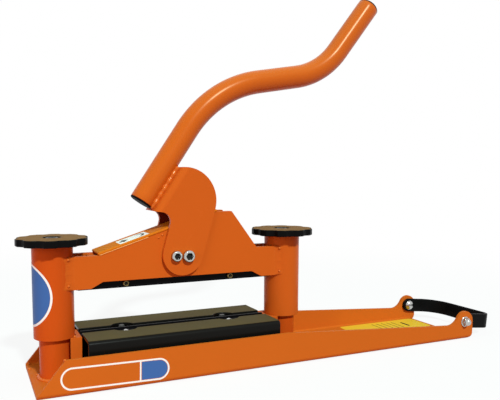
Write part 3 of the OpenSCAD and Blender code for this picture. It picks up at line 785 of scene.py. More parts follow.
WARM_GLINT = (1.0, 0.84, 0.55)
# The lighter edge colours in the finishes below paint a highlight along outer edges.
EDGE_HIGHLIGHT_ORANGE = srgb(226, 140, 62)
ORANGE_COAT = Coating(
    "orange_powder_coat", srgb(210, 96, 28), 0.26, specular=0.08, glint=WARM_GLINT, peel_depth=0.000004, drift=0.06,
    edge_highlight=0.25, edge_highlight_colour=EDGE_HIGHLIGHT_ORANGE,
)
# The clevis coat with painted shade: darker inside, between the cheeks and under the web, where the inside lies in
# shadow.
ORANGE_CLEVIS = replace(
    ORANGE_COAT, name="orange_clevis_painted_shade_coat",
    hollow=PaintedShade(colour=srgb(114, 37, 17), half_y=0.0253, across=(-0.82904, 0.0, 0.55919), depth=0.1729),
)
ORANGE_TUBE = Coating(
    "orange_tube_coat", srgb(211, 100, 24), 0.26, specular=0.2, glint=WARM_GLINT, peel_depth=0.000001, drift=0.05,
    edge_highlight=0.2, edge_highlight_colour=EDGE_HIGHLIGHT_ORANGE,
)
ORANGE_COLUMN = Coating(
    "orange_column_coat", srgb(208, 84, 22), 0.26, specular=0.07, glint=WARM_GLINT, peel_depth=0.000004, drift=0.05,
    edge_highlight=0.25, edge_highlight_colour=srgb(226, 136, 62),
)
ORANGE_WELD = Coating(
    "orange_weld_coat", srgb(212, 102, 28), 0.2, specular=0.32, glint=WARM_GLINT, peel_depth=0.000004, drift=0.06,
)
ORANGE_SATIN = Coating(
    "orange_satin_coat", srgb(211, 97, 28), 0.5, specular=0.06, glint=WARM_GLINT, peel_depth=0.000008, drift=0.06,
    edge_highlight=0.25, edge_highlight_colour=EDGE_HIGHLIGHT_ORANGE,
)
ORANGE_BASE = Coating(
    "orange_base_coat", srgb(210, 105, 31), 0.5, specular=0.06, glint=WARM_GLINT, peel_depth=0.000008, drift=0.06,
    edge_highlight=0.25, edge_highlight_colour=EDGE_HIGHLIGHT_ORANGE,
)
# A lighter, yellower copy of the orange for the up-facing slope strip: painted light from above, with a pale painted
# highlight on its edges.
ORANGE_STRIP = Coating(
    "orange_strip_coat", srgb(216, 118, 24), 0.6, specular=0.03, peel_depth=0.000008, drift=0.06,
    edge_highlight=0.45, edge_highlight_colour=srgb(240, 184, 110),
)
# A lighter orange for the strip's weld seams: a painted highlight line.
ORANGE_SEAM_HIGHLIGHT = Coating(
    "orange_seam_highlight", srgb(228, 140, 58), 0.3, specular=0.3, peel_depth=0.000008, drift=0.06,
)
BLACK_COAT = Coating(
    "black_gloss_paint", srgb(8, 8, 10), 0.25, specular=0.045, peel_depth=0.000008,
    edge_highlight=0.2, edge_highlight_colour=srgb(60, 62, 64),
)
# Its lighter top colour is a painted reflection on faces that look up.
SUPPORT_COAT = Coating(
    "black_support_paint", srgb(18, 17, 15), 0.24, specular=0.08, peel_depth=0.000008,
    edge_highlight=0.4, edge_highlight_colour=srgb(86, 88, 88), film=0.95, top_sheen_colour=srgb(98, 84, 55), top_roughness=0.85,
)
# Its lighter top colour is a painted reflection on faces that look up.
KNOB_PLASTIC = Coating(
    "satin_knob_plastic", srgb(12, 12, 12), 0.36, specular=0.04, peel_scale=900.0, peel_depth=0.000008,
    edge_highlight=0.3, edge_highlight_colour=srgb(110, 100, 78), film=0.95, top_sheen_colour=srgb(148, 108, 72), top_roughness=0.9,
)
PLUG_PLASTIC = Coating("plug_plastic", srgb(14, 12, 11), 0.5, specular=0.03, peel_scale=900.0, peel_depth=0.000008)
STRAP_PLASTIC = Coating(
    "strap_plastic", srgb(12, 12, 12), 0.4, specular=0.05, peel_scale=500.0, peel_depth=0.00001,
    edge_highlight=0.2, edge_highlight_colour=srgb(60, 57, 52),
)
CREAM_FILM = Coating("cream_film", srgb(252, 252, 246), 0.4, specular=0.12, peel_depth=0.000004, drift=0.03)
BLUE_FILM = Coating("blue_film", srgb(66, 108, 172), 0.38, specular=0.12, peel_depth=0.000004, drift=0.05)
YELLOW_FILM = Coating("yellow_film", srgb(240, 192, 54), 0.5, specular=0.05, peel_depth=0.000004, drift=0.10)
DARK_FILM = Coating("dark_film", srgb(26, 25, 24), 0.45, specular=0.12, peel_depth=0.000004, drift=0.03)
# A dark sheet on the floors of screw sockets: painted shade.
SOCKET_SHADE = Coating("socket_shade", srgb(34, 32, 30), 0.6, specular=0.1, peel_depth=0.000004, drift=0.05)
BRIGHT_ZINC = Metal("bright_zinc", srgb(186, 187, 184), 0.2)
YELLOW_PASSIVATE = Metal("yellow_passivate", srgb(138, 118, 76), 0.34)
BEARING_BRONZE = Metal("bearing_bronze", srgb(170, 132, 78), 0.38)
# A darker copy of the zinc for fasteners that sit in shade: painted shade.
SHADED_ZINC = Metal("shaded_zinc", srgb(84, 84, 82), 0.45)
SPRING_WIRE = Metal("spring_wire", srgb(110, 112, 116), 0.36)

SLOT_FINISH = {
    Slot.ORANGE: ORANGE_COAT,
    Slot.BLACK: BLACK_COAT,
    Slot.ZINC: BRIGHT_ZINC,
    Slot.YELLOW: YELLOW_PASSIVATE,
    Slot.BRONZE: BEARING_BRONZE,
    Slot.SPRING: SPRING_WIRE,
    Slot.PLASTIC: PLUG_PLASTIC,
    Slot.STRAP: STRAP_PLASTIC,
}


class PaintShop:
    """Keeps one material for each finish and dresses pieces with them."""

    def __init__(self) -> None:
        """Start with no material made."""
        self.made: dict[str, Material] = {}

    def material(self, finish: Coating | Metal) -> Material:
        """The material of a finish, made on first use.

        Args:
            finish: the finish.

        Returns:
            Its material.
        """
        if finish.name not in self.made:
            self.made[finish.name] = finish.material()
        return self.made[finish.name]

    def dress(self, piece: Piece, finish: Coating | Metal, body: Body) -> Piece:
        """Give a new piece its finish and body.

        Args:
            piece: the piece.
            finish: its finish.
            body: the body that it rides on.

        Returns:
            The same piece.
        """
        piece.data.materials.clear()
        piece.data.materials.append(self.material(finish))
        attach(piece, body.value)
        LOG.info("%s rides on %s in %s", piece.name, body.value, finish.name)
        return piece

    def stand_in(self, piece: Piece, node: str, finish: Coating | Metal, body: Body) -> Piece:
        """Dress a piece that takes the place of the solid of a node."""
        return self.dress(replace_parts(piece, node), finish, body)

    def refinish(self, name: str, finish: Coating | Metal) -> None:
        """Give a solid that still shows a finish.

        Args:
            name: the solid's name.
            finish: the finish.
        """
        node = frame["nodes"][name]
        node.data.materials.clear()
        node.data.materials.append(self.material(finish))
        LOG.info("solid %s in %s", name, finish.name)

    def dress_solids(self) -> None:
        """Give every solid that still shows the finish of its own slot."""
        slots = {s["node"]: Slot(s["material_slot"]) for s in frame["record"]["subparts"]}
        for name in frame["nodes"]:
            self.refinish(name, SLOT_FINISH[slots[name]])


SHOP = PaintShop()


# Fasteners


@dataclass(frozen=True)
class CapScrew:
    """A cap screw with a round head and a six-sided socket, sizes in millimetres."""

    head_d: float
    head_t: float
    shank: tuple[Pair, ...]
    chamfer: float = 1.5
    socket_share: float = 0.28
    shade_share: float = 0.292
    depth_share: float = 0.55

    def grid(self, seat: Vec, out: Vec) -> Grid:
        """Turn the screw: a stepped shank, the head, and a socket whose radius is apothem / cos(t mod 60 - 30).

        Args:
            seat: point in the middle of the face under the head, in metres.
            out: direction from the seat out through the head.

        Returns:
            The closed sheet.
        """
        steps, reach = 72, 0.0
        stem: list[Pair] = []
        for d, length in self.shank:
            stem += [(d / 2, -reach), (d / 2, -reach - length)]
            reach += length
        r, h = self.head_d / 2, self.head_t
        flat = self.head_d * self.socket_share
        lip = flat * 1.155 + 0.5
        head = [(r, 0.0), (r, h - self.chamfer), (r - self.chamfer, h), (lip, h)]
        outer = eased([(0.0, -reach), *stem[::-1], *head], 0.25, 3)
        radii = np.repeat(outer[:, 0:1], steps, axis=1)
        socket = six_sided(flat, steps)
        low = h - self.depth_share * h
        inner = np.stack([socket + 0.12, socket, socket, 0.25 * socket, 0.0 * socket])
        heights = np.concatenate([outer[:, 1], [h - 0.15, h - 0.5, low, low - 0.9, low - 1.0]])
        return spun(np.concatenate([radii, inner]) * MM, heights * MM, seat, out)

    def shade(self, seat: Vec, out: Vec) -> Grid:
        """A thin dark disc on the socket's floor: painted shade in the socket.

        Args:
            seat: point in the middle of the face under the head, in metres.
            out: direction from the seat out through the head.

        Returns:
            The closed sheet.
        """
        r, h = self.head_d * self.shade_share, (1 - self.depth_share) * self.head_t
        return lathe(np.array([(0.0, h - 0.6), (r, h - 0.6), (r, h + 0.1), (0.0, h + 0.1)]), seat, out)


@dataclass(frozen=True)
class HexNut:
    """A six-sided nut, sizes in millimetres."""

    corners: float
    thickness: float
    bore: float
    ease: float = 0.3

    def grid(self, seat: Vec, out: Vec) -> Grid:
        """Turn the nut: radius apothem / cos(t mod 60 - 30), held inside a chamfer circle at both faces.

        Args:
            seat: middle of the face that bears, in metres.
            out: direction from the seat out through the nut.

        Returns:
            The closed ring.
        """
        steps, chamfer_share, chamfer_slope = 96, 0.9, 0.6
        e, top = self.ease, self.thickness
        side = six_sided(self.corners / 2 * HEX_FLAT, steps)
        edge = np.minimum(side, self.corners / 2 * chamfer_share)
        drop = (side - edge) * chamfer_slope
        hole = np.full(steps, self.bore / 2)
        under = spun(np.stack([hole, hole + e, edge]) * MM, np.array([e, 0.0, 0.0]) * MM, seat, out)
        wall = spun(np.stack([edge, side, side, edge]) * MM, np.zeros(4), seat, out)
        lift = np.stack([0 * drop, drop, top - drop, top + 0 * drop]) * MM
        over = spun(np.stack([edge, hole + e, hole]) * MM, np.array([top, top, top - e]) * MM, seat, out)
        inner = spun(np.stack([hole, hole]) * MM, np.array([e, top - e]) * MM, seat, out)
        rows = [under.points, wall.points + lift[..., None] * np.asarray(out, float), over.points, inner.points]
        return Grid(np.concatenate(rows), wrap_rows=True)


@dataclass(frozen=True)
class DomeHead:
    """A mushroom head on a thin flange, with a shank behind, sizes in millimetres."""

    flange_d: float
    rise: float
    shank_d: float
    shank_l: float
    flange_t: float = 1.5

    def grid(self, seat: Vec, out: Vec) -> Grid:
        """Turn the head: over the flange, radius and height follow a quarter ellipse, cos(a) and sin(a).

        Args:
            seat: middle of the face under the head, in metres.
            out: direction from the seat out through the head.

        Returns:
            The closed sheet.
        """
        r, stem, low = self.flange_d / 2, self.shank_d / 2, -self.shank_l
        foot = np.array([(0, low), (stem, low), (stem, 0), (r - 0.3, 0), (r, 0.4), (r, 1.2)])
        a = np.linspace(0.0, QUARTER, 12)
        cap = np.stack([(r - 0.5) * np.cos(a), self.flange_t + (self.rise - self.flange_t) * np.sin(a)], -1)
        return lathe(np.concatenate([foot, cap]), seat, out)


@dataclass(frozen=True)
class CapNut:
    """A six-sided nut closed by a dome, sizes in millimetres."""

    corner_r: float = 8.5
    chamfer_r: float = 7.7
    foot: float = 1.0
    skirt: float = 6.0
    dome_r: float = 6.8

    def grid(self, seat: Vec, out: Vec) -> Grid:
        """Turn the nut: a six-sided skirt, then a dome with the radius R cos(a) at the height R sin(a) over it.

        Args:
            seat: middle of the face that bears, in metres.
            out: direction from the seat out through the nut.

        Returns:
            The closed sheet.
        """
        steps = 72
        side = six_sided(self.corner_r * HEX_FLAT, steps)
        a = np.linspace(0.0, QUARTER, 10)
        ball = np.repeat((self.dome_r * np.cos(a))[:, None], steps, axis=1)
        radii = np.concatenate([np.stack([0 * side, side, side, np.minimum(side, self.chamfer_r)]), ball])
        skirt = [self.foot, self.foot, self.skirt - 0.7, self.skirt]
        heights = np.concatenate([skirt, self.skirt + self.dome_r * np.sin(a)])
        return spun(radii * MM, heights * MM, seat, out)


# Sub-assemblies


@dataclass(frozen=True)
class Columns:
    """Places that the base and the bridge share, in millimetres."""

    x: float = 195.0
    post_r: float = 22.5
    sleeve_r: float = 30.15
    floor: float = 5.0


COLUMNS = Columns()
PIVOT: Pair = (-11.0, 183.0)


@dataclass
class BaseFrame:
    """The folded base with its posts, brackets, anvil beam and lower blade, sizes in millimetres."""

    half_w: float = 81.0
    badge_x: Pair = (-199.0, -40.0)
    badge_z: Pair = (9.5, 42.5)
    badge_line: float = 2.5
    badge_end_x: float = -85.5
    badge_bar: float = 2.2
    badge_turn_deg: float = -1.1
    badge_lift: float = 0.10
    badge_sunk: float = 0.3
    film_x: Pair = (368.0, 548.0)
    film_y: Pair = (6.0, 70.0)
    film_corner: float = 5.0
    film_lift: float = 0.12
    bar_lift: float = 0.2
    film_bars: tuple[tuple[float, float, float, float], ...] = (
        (398.0, 424.0, 10.0, 18.0), (440.0, 441.6, 18.0, 60.0), (452.0, 453.6, 18.0, 60.0), (464.0, 465.6, 18.0, 60.0),
        (476.0, 477.6, 18.0, 60.0), (488.0, 489.6, 18.0, 60.0), (504.0, 509.0, 24.0, 50.0),
    )
    drops: tuple[Triple, ...] = (
        (-226.5, 74.5, 6.0), (-227.5, 50.0, 5.4), (-219.5, 15.0, 5.6), (-192.0, -78.5, 53.0), (-168.5, -22.5, 69.5),
    )
    drop_r: float = 2.0
    drop_out: Triple = (-0.3, -0.6, 0.7)
    post_bead: float = 3.0
    bracket_bead: float = 2.6
    bracket_foot: Triple = (160.0, 24.6, 5.6)
    bracket_run: float = 12.0
    ring_seed: int = 11
    bracket_seed: int = 21
    bolt_x: float = 88.0
    bolt_z: float = 64.0
    anvil_half: float = 12.0
    lower_screw: CapScrew = CapScrew(12.5, 7.0, ((8.0, 30.5),))

    def build(self) -> None:
        """Make and dress all pieces."""
        for node, width, finish in (("base_channel", 1.1, ORANGE_BASE), ("left_post", 0.8, ORANGE_COLUMN),
                                    ("right_post", 0.8, ORANGE_COLUMN), ("left_blade_bracket", 0.9, ORANGE_SATIN),
                                    ("right_blade_bracket", 0.9, ORANGE_SATIN)):
            SHOP.dress(softened(node, width * MM), finish, Body.BASE)
        for node, width in (("anvil_beam", 0.8), ("lower_blade", 0.4)):
            SHOP.dress(softened(node, width * MM), BLACK_COAT, Body.BASE)
        # The far nuts, in shade, get the darker zinc: painted shade.
        SHOP.refinish("lower_blade_nuts", SHADED_ZINC)
        self.welds()
        self.badge()
        self.tail_film()
        seats = [(side * self.bolt_x * MM, -self.anvil_half * MM, self.bolt_z * MM) for side in LEFT_RIGHT]
        screws = make_piece("lower_blade_screws", [self.lower_screw.grid(s, (0, -1, 0)) for s in seats], Sharp.CRISP)
        SHOP.stand_in(screws, "lower_blade_bolts", BRIGHT_ZINC, Body.BASE)

    def welds(self) -> None:
        """Ring beads where the posts stand on the floor, beads at the feet of the brackets, and stray drops."""
        t = np.linspace(0.0, FULL_TURN, 220, endpoint=False)
        around = np.stack([np.cos(t), np.sin(t), 0 * t], -1)
        beads, count = [], 60
        x, y, z = self.bracket_foot
        for number, side in enumerate(LEFT_RIGHT):
            ring = around * (COLUMNS.post_r + 1.2) * MM + np.array([side * COLUMNS.x, 0.0, COLUMNS.floor + 1.0]) * MM
            beads.append(weld_bead(ring, around, every(ALONG_Z, len(t)), self.post_bead * MM, self.ring_seed + number,
                                   closed=True))
            start, end = side * x, side * (x + self.bracket_run)
            for face in FRONT_BACK:
                run = along((start * MM, face * y * MM, z * MM), (end * MM, face * y * MM, z * MM), count)
                beads.append(weld_bead(run, every(ALONG_Y, count), every(ALONG_Z, count), self.bracket_bead * MM,
                                       self.bracket_seed + number * 2 + face))
        beads += [weld_drop(seat, self.drop_out, self.drop_r) for seat in self.drops]
        SHOP.dress(make_piece("base_welds", beads, Sharp.FLOWING), ORANGE_WELD, Body.BASE)

    def outline(self, inset: float, count: int) -> Array:
        """Points round the badge: a rectangle with half-round ends, moved in by inset.

        Args:
            inset: how far inside the outer line, in millimetres.
            count: number of points.

        Returns:
            Points in x and z, in millimetres.
        """
        (x0, x1), (z0, z1) = self.badge_x, self.badge_z
        r = (z1 - z0) / 2
        t = np.linspace(0.0, FULL_TURN, count, endpoint=False)
        c = np.where(np.cos(t) >= 0, x1 - r, x0 + r)
        return np.stack([c + (r - inset) * np.cos(t), (z0 + z1) / 2 + (r - inset) * np.sin(t)], -1)

    def badge(self) -> None:
        """A plain round-ended badge on the front flange: a pale line, a bare field and a coloured end."""
        count = 160
        front, back = -self.half_w - self.badge_lift, -self.half_w + self.badge_sunk
        loops = [self.outline(i, count) for i in (0.0, self.badge_line, self.badge_line, 0.0)]
        ys = [front, front, back, back]
        ring = np.stack([np.stack([p[:, 0], np.full(count, y), p[:, 1]], -1) for p, y in zip(loops, ys)])
        line = Grid(self.turned(ring) * MM, wrap_rows=True)
        z0, z1 = self.badge_z[0] + self.badge_line, self.badge_z[1] - self.badge_line
        bar_x = np.array([self.badge_end_x, self.badge_end_x + self.badge_bar])
        bar = self.flat_patch(bar_x, np.array([z0, z1]), front)
        SHOP.dress(make_piece("badge_line", [line, *bar], Sharp.CRISP), CREAM_FILM, Body.BASE)
        r = (z1 - z0) / 2 - 0.5
        mid, end = (z0 + z1) / 2, self.badge_x[1] - (self.badge_z[1] - self.badge_z[0]) / 2
        v = np.linspace(-1.0, 1.0, 33)
        reach = end + r * np.sqrt(1 - v**2)
        start = self.badge_end_x + self.badge_bar + 0.7
        u = np.linspace(0.0, 1.0, 13)[:, None]
        x = start + (reach - start)[None] * u
        z = np.broadcast_to(mid + r * v, x.shape)
        sheet = self.turned(np.stack([x, np.full(x.shape, front), z], -1)) * MM
        field = make_piece("badge_end", slab(sheet, np.array([0.0, -0.4, 0.0]) * MM), Sharp.CRISP)
        SHOP.dress(field, BLUE_FILM, Body.BASE)

    def turned(self, points: Array) -> Array:
        """Turn points of the badge in the flange's plane about its left end, because it was stuck on a little askew.

        Args:
            points: the points, in millimetres.

        Returns:
            The turned points.
        """
        a = math.radians(self.badge_turn_deg)
        pin = np.array([self.badge_x[0], 0.0, sum(self.badge_z) / 2])
        d = points - pin
        x = d[..., 0] * math.cos(a) - d[..., 2] * math.sin(a)
        z = d[..., 0] * math.sin(a) + d[..., 2] * math.cos(a)
        return np.stack([x, d[..., 1], z], -1) + pin

    def flat_patch(self, x: Array, z: Array, y: float) -> list[Grid]:
        """A flat film on the front flange, sizes in millimetres.

        Args:
            x: its two ends along the base.
            z: its lower and upper edge.
            y: the place of its outer face.

        Returns:
            The film's sheets.
        """
        gx, gz = np.meshgrid(x, z, indexing="ij")
        sheet = self.turned(np.stack([gx, np.full(gx.shape, y), gz], -1))
        return slab(sheet * MM, np.array([0.0, -0.4, 0.0]) * MM)

    def tail_film(self) -> None:
        """A plain yellow film on the rear half of the tail's floor, with round corners."""
        x = np.linspace(*self.film_x, 40)
        r = self.film_corner
        d = np.clip(r - np.minimum(x - x[0], x[-1] - x), 0, r)
        trim = r - np.sqrt(r**2 - d**2)
        v = np.linspace(0.0, 1.0, 8)[None]
        y = self.film_y[0] + trim[:, None] + v * (self.film_y[1] - self.film_y[0] - 2 * trim[:, None])
        level = np.full(y.shape, COLUMNS.floor + self.film_lift)
        sheet = np.stack([np.broadcast_to(x[:, None], y.shape), y, level], -1)
        film = make_piece("tail_film", slab(sheet * MM, np.array([0.0, 0.0, 0.4]) * MM), Sharp.CRISP)
        SHOP.dress(film, YELLOW_FILM, Body.BASE)
        marks = []
        for x0, x1, y0, y1 in self.film_bars:
            gx, gy = np.meshgrid(np.array([x0, x1]), np.array([y0, y1]), indexing="ij")
            sheet = np.stack([gx, gy, np.full(gx.shape, COLUMNS.floor + self.bar_lift)], -1)
            marks += slab(sheet * MM, np.array([0.0, 0.0, 0.3]) * MM)
        SHOP.dress(make_piece("tail_film_bars", marks, Sharp.CRISP), DARK_FILM, Body.BASE)


@dataclass
class StoneSupports:
    """The two sprung leaves and their springs, sizes in millimetres."""

    guide_x: float = 125.0
    guide_y: float = 40.5
    floor: float = COLUMNS.floor
    height: float = 61.5
    wire: float = 2.6
    coil_d: float = 25.0
    turns: int = 6
    end_share: float = 0.1
    sink: float = 5.0

    def build(self) -> None:
        """Make and dress all pieces."""
        for name, body, face in (("front", Body.FRONT_SUPPORT, -1), ("rear", Body.REAR_SUPPORT, 1)):
            leaf = softened(name + "_support", 1.1 * MM, 3)
            SHOP.dress(leaf, SUPPORT_COAT, body)
            springs = [self.coil(side * self.guide_x, face * self.guide_y) for side in LEFT_RIGHT]
            coils = make_piece(name + "_coils", springs, Sharp.FLOWING)
            SHOP.stand_in(coils, name + "_support_springs", SPRING_WIRE, Body.BASE)
            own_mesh(coils)

    def coil(self, x: float, y: float) -> Grid:
        """A wound spring: a round wire on a helix whose first and last turns lie flat.

        The rise goes from 0 to 1 between the two flat shares, and the wire closes to a point at both ends.

        Args:
            x: place of the spring's axis along the base.
            y: place of the axis across the base.

        Returns:
            The closed sheet.
        """
        t = np.linspace(0.0, self.turns, self.turns * 28 + 1)
        flat = self.turns * self.end_share
        rise = np.clip((t - flat) / (self.turns - 2 * flat), 0.0, 1.0)
        a = FULL_TURN * t
        radius = (self.coil_d - self.wire) / 2
        out = np.stack([np.cos(a), np.sin(a), 0 * a], -1)
        path = radius * out + np.array([x, y, self.floor + self.wire / 2])
        path[:, 2] += (self.height - self.wire) * rise
        phi = np.linspace(0.0, FULL_TURN, 10, endpoint=False)
        ring = np.stack([np.cos(phi), np.sin(phi)], -1) * self.wire / 2
        outline = np.broadcast_to(ring, (len(t), *ring.shape)).copy()
        outline[[0, -1]] = 0.0
        return swept(path * MM, out, every(ALONG_Z, len(t)), outline * MM)


@dataclass
class Bridge:
    """The sliding beam: sleeves, plates, strip, pivot screws, welds and films, sizes in millimetres."""

    plate_out: float = 24.0
    seam_z: Pair = (140.2, 188.4)
    fillet_run: float = 9.0
    strip_seam: Pair = (1.0, 82.0)
    strip_bead: float = 0.9
    strip_seed: int = 90
    drop_z: Pair = (146.5, 185.5)
    drop_r: float = 2.4
    lump_at: tuple[float, ...] = (0.06, 0.2, 0.5, 0.93)
    lump_rise: tuple[float, ...] = (1.3, 0.5, 0.35, 1.2)
    lump_width: float = 3.2
    slope_drops: tuple[Pair, ...] = ((-37.0, 212.4), (-31.0, 216.3))
    slope_drop_r: float = 1.8
    slope_foot: Pair = (-131.0, 189.0)
    slope_deg: float = 17.59
    strip_t: float = 4.5
    label_s: Pair = (37.0, 85.0)
    label_y: Pair = (-21.0, 11.0)
    label_lift: float = 0.1
    mark_lift: float = 0.18
    film_t: float = 0.3
    wedge_run: float = 14.0
    wedge_half: float = 10.0
    wedge_stem: float = 4.0
    stem_share: float = 0.35
    bow_r: float = 9.5
    bow_fat: float = 4.5
    bow_half_deg: float = 115.0
    disc_r: float = 48.0
    disc_deg: float = 169.0
    disc_z: float = 132.5
    disc_rim: float = 3.2
    pivot: Pair = PIVOT
    cheek_out: float = 31.3
    pivot_screw: CapScrew = CapScrew(16.8, 8.0, ((12.0, 7.3), (10.0, 10.0)))

    def build(self) -> None:
        """Make and dress all pieces."""
        # The slope strip takes the lighter, yellower orange: painted light on its up-facing top.
        for node, width, finish in (("left_sleeve", 0.9, ORANGE_COLUMN), ("right_sleeve", 0.9, ORANGE_COAT),
                                    ("front_bridge_plate", 1.2, ORANGE_SATIN), ("rear_bridge_plate", 1.2, ORANGE_SATIN),
                                    ("slope_strip", 2.0, ORANGE_STRIP), ("left_guide_block", 0.8, ORANGE_SATIN),
                                    ("right_guide_block", 0.8, ORANGE_SATIN)):
            SHOP.dress(softened(node, width * MM, 4), finish, Body.BRIDGE)
        self.welds()
        self.label()
        self.disc()
        seats = [((self.pivot[0] * MM, face * self.cheek_out * MM, self.pivot[1] * MM), face) for face in FRONT_BACK]
        screws = make_piece("pivot_screws", [self.pivot_screw.grid(s, (0, f, 0)) for s, f in seats], Sharp.CRISP)
        SHOP.stand_in(screws, "pivot_bolts", BRIGHT_ZINC, Body.BRIDGE)
        # Dark discs in the sockets: painted shade.
        shades = make_piece("pivot_socket_shades", [self.pivot_screw.shade(s, (0, f, 0)) for s, f in seats], Sharp.CRISP)
        SHOP.dress(shades, SOCKET_SHADE, Body.BRIDGE)

    def welds(self) -> None:
        """Upright fillets where the plates meet the sleeves, with a lump at each start and stop."""
        seams = [self.fillet(side, face) for side in LEFT_RIGHT for face in FRONT_BACK]
        SHOP.dress(make_piece("bridge_welds", seams, Sharp.FLOWING), ORANGE_COAT, Body.BRIDGE)
        drops = [self.drop(side, face, z) for side in LEFT_RIGHT for face in FRONT_BACK for z in self.drop_z]
        drops += [weld_drop((x, face * self.plate_out, z), (-0.2, face, 0.5), self.slope_drop_r)
                  for face in FRONT_BACK for x, z in self.slope_drops]
        SHOP.dress(make_piece("bridge_weld_drops", drops, Sharp.FLOWING), ORANGE_WELD, Body.BRIDGE)
        runs, count = [], 160
        up, climb = every(self.slope_normal, count), np.linspace(*self.strip_seam, count)
        for face in FRONT_BACK:
            path = self.on_slope(climb, np.full(count, face * self.plate_out), -self.strip_t)
            runs.append(weld_bead(path, every(ALONG_Y, count), up, self.strip_bead * MM, self.strip_seed + face))
        # The strip's seams take a lighter orange: a painted highlight line.
        SHOP.dress(make_piece("strip_welds", runs, Sharp.FLOWING), ORANGE_SEAM_HIGHLIGHT, Body.BRIDGE)

    @property
    def slope_normal(self) -> Array:
        """Unit direction square to the long slope."""
        a = math.radians(self.slope_deg)
        return np.array([-math.sin(a), 0.0, math.cos(a)])

    def drop(self, side: int, face: int, z: float) -> Grid:
        """A drop of weld in the corner between plate and sleeve.

        Args:
            side: -1 at the left column, 1 at the right.
            face: -1 at the front plate, 1 at the rear.
            z: its height in millimetres.

        Returns:
            The closed sheet.
        """
        x = COLUMNS.x - math.sqrt(COLUMNS.sleeve_r**2 - self.plate_out**2) - 0.6
        return weld_drop((side * x, face * (self.plate_out + 2.2), z), (-0.35 * side, face, 0.0), self.drop_r)

    def fillet(self, side: int, face: int) -> Grid:
        """A dressed weld: a curve from the plate's face to the sleeve, carried upwards.

        The curve is the quadratic one between two points set back from the corner, with the corner as its guide. It is
        lifted by ripples and by bell-shaped lumps exp(-((z - z0) / w)^2) where the weld was started and stopped.

        Args:
            side: -1 at the left column, 1 at the right.
            face: -1 at the front plate, 1 at the rear.

        Returns:
            The closed sheet.
        """
        rows, cols = 120, 14
        r, y0 = COLUMNS.sleeve_r, self.plate_out
        corner_a = math.asin(y0 / r)
        corner = np.array([r * math.cos(corner_a), y0])
        first = corner + np.array([self.fillet_run, 0.02])
        last_a = corner_a + self.fillet_run / r
        last = (r + 0.02) * np.array([math.cos(last_a), math.sin(last_a)])
        t = np.linspace(0.0, 1.0, cols)[:, None]
        curve = (1 - t) ** 2 * first + 2 * t * (1 - t) * corner + t**2 * last
        z = np.linspace(*self.seam_z, rows)
        span = self.seam_z[1] - self.seam_z[0]
        spots = self.seam_z[0] + span * np.array(self.lump_at)
        lump = (np.exp(-(((z[:, None] - spots) / self.lump_width) ** 2)) * np.array(self.lump_rise)).sum(axis=1)
        ripple = 0.07 * np.cos(FULL_TURN * z / 4.3) + 0.05 * np.cos(FULL_TURN * z / 2.9 + side)
        bell = np.sin(math.pi * t[:, 0]) ** 2
        out = curve / np.linalg.norm(curve, axis=1, keepdims=True)
        lifted = curve + (lump + ripple)[:, None, None] * (bell[:, None] * out)
        inner = np.broadcast_to(curve[::-1] - 2.0 * out[::-1], lifted.shape)
        outline = np.concatenate([lifted, inner], axis=1)
        x = side * (COLUMNS.x - outline[..., 0])
        points = np.stack([x, face * outline[..., 1], np.broadcast_to(z[:, None], x.shape)], -1)
        closed = np.concatenate([points[:1] * 0 + points[:1].mean(axis=1, keepdims=True), points,
                                 points[-1:] * 0 + points[-1:].mean(axis=1, keepdims=True)])
        return Grid(closed * MM)

    def on_slope(self, s: Array, y: Array, lift: float) -> Array:
        """Points on the strip's upper face.

        Args:
            s: distances up the slope from its foot, in millimetres.
            y: places across the strip, in millimetres.
            lift: height over the strip's upper face, in millimetres.

        Returns:
            The points in metres.
        """
        a = math.radians(self.slope_deg)
        h = self.strip_t + lift
        x = self.slope_foot[0] + s * math.cos(a) - h * math.sin(a)
        z = self.slope_foot[1] + s * math.sin(a) + h * math.cos(a)
        return np.stack([x, y, z], -1) * MM

    def label(self) -> None:
        """A plain pale label on the strip with two dark marks, a wedge and a bow, for the way that the lever swings."""
        down = self.slope_normal * self.film_t * MM
        s, y = np.meshgrid(np.linspace(*self.label_s, 8), np.linspace(*self.label_y, 4), indexing="ij")
        plate = make_piece("strip_label", slab(self.on_slope(s, y, self.label_lift), down), Sharp.CRISP)
        SHOP.dress(plate, CREAM_FILM, Body.BRIDGE)
        marks = slab(self.wedge(), down) + slab(self.bow()[::-1], down)
        SHOP.dress(make_piece("strip_marks", marks, Sharp.CRISP), DARK_FILM, Body.BRIDGE)

    def wedge(self) -> Array:
        """The first mark: a short stem, then a point whose half width falls off evenly to zero.

        Returns:
            Points of its sheet in metres.
        """
        t = np.linspace(0.0, 1.0, 12)
        tip = self.label_s[0] + 3.0 + self.wedge_run * t
        half = np.where(t < self.stem_share, self.wedge_stem, self.wedge_half * (1 - t) / (1 - self.stem_share))
        y = sum(self.label_y) / 2 + np.stack([-half, half], -1)
        return self.on_slope(np.repeat(tip[:, None], 2, axis=1), y, self.mark_lift)

    def bow(self) -> Array:
        """The second mark: an arc whose breadth follows a cosine, widest in the middle and thin at both ends.

        Returns:
            Points of its sheet in metres.
        """
        end, count = math.radians(self.bow_half_deg), 40
        t = np.linspace(-end, end, count)
        breadth = np.maximum(self.bow_fat * np.cos(t / (2 * end) * math.pi), 0.3)
        rings = np.stack([self.bow_r - breadth, np.full(count, self.bow_r)], -1)
        s = self.label_s[1] - 13.5 + rings * np.cos(t)[:, None]
        y = sum(self.label_y) / 2 + 1.25 * rings * np.sin(t)[:, None]
        return self.on_slope(s, y, self.mark_lift)

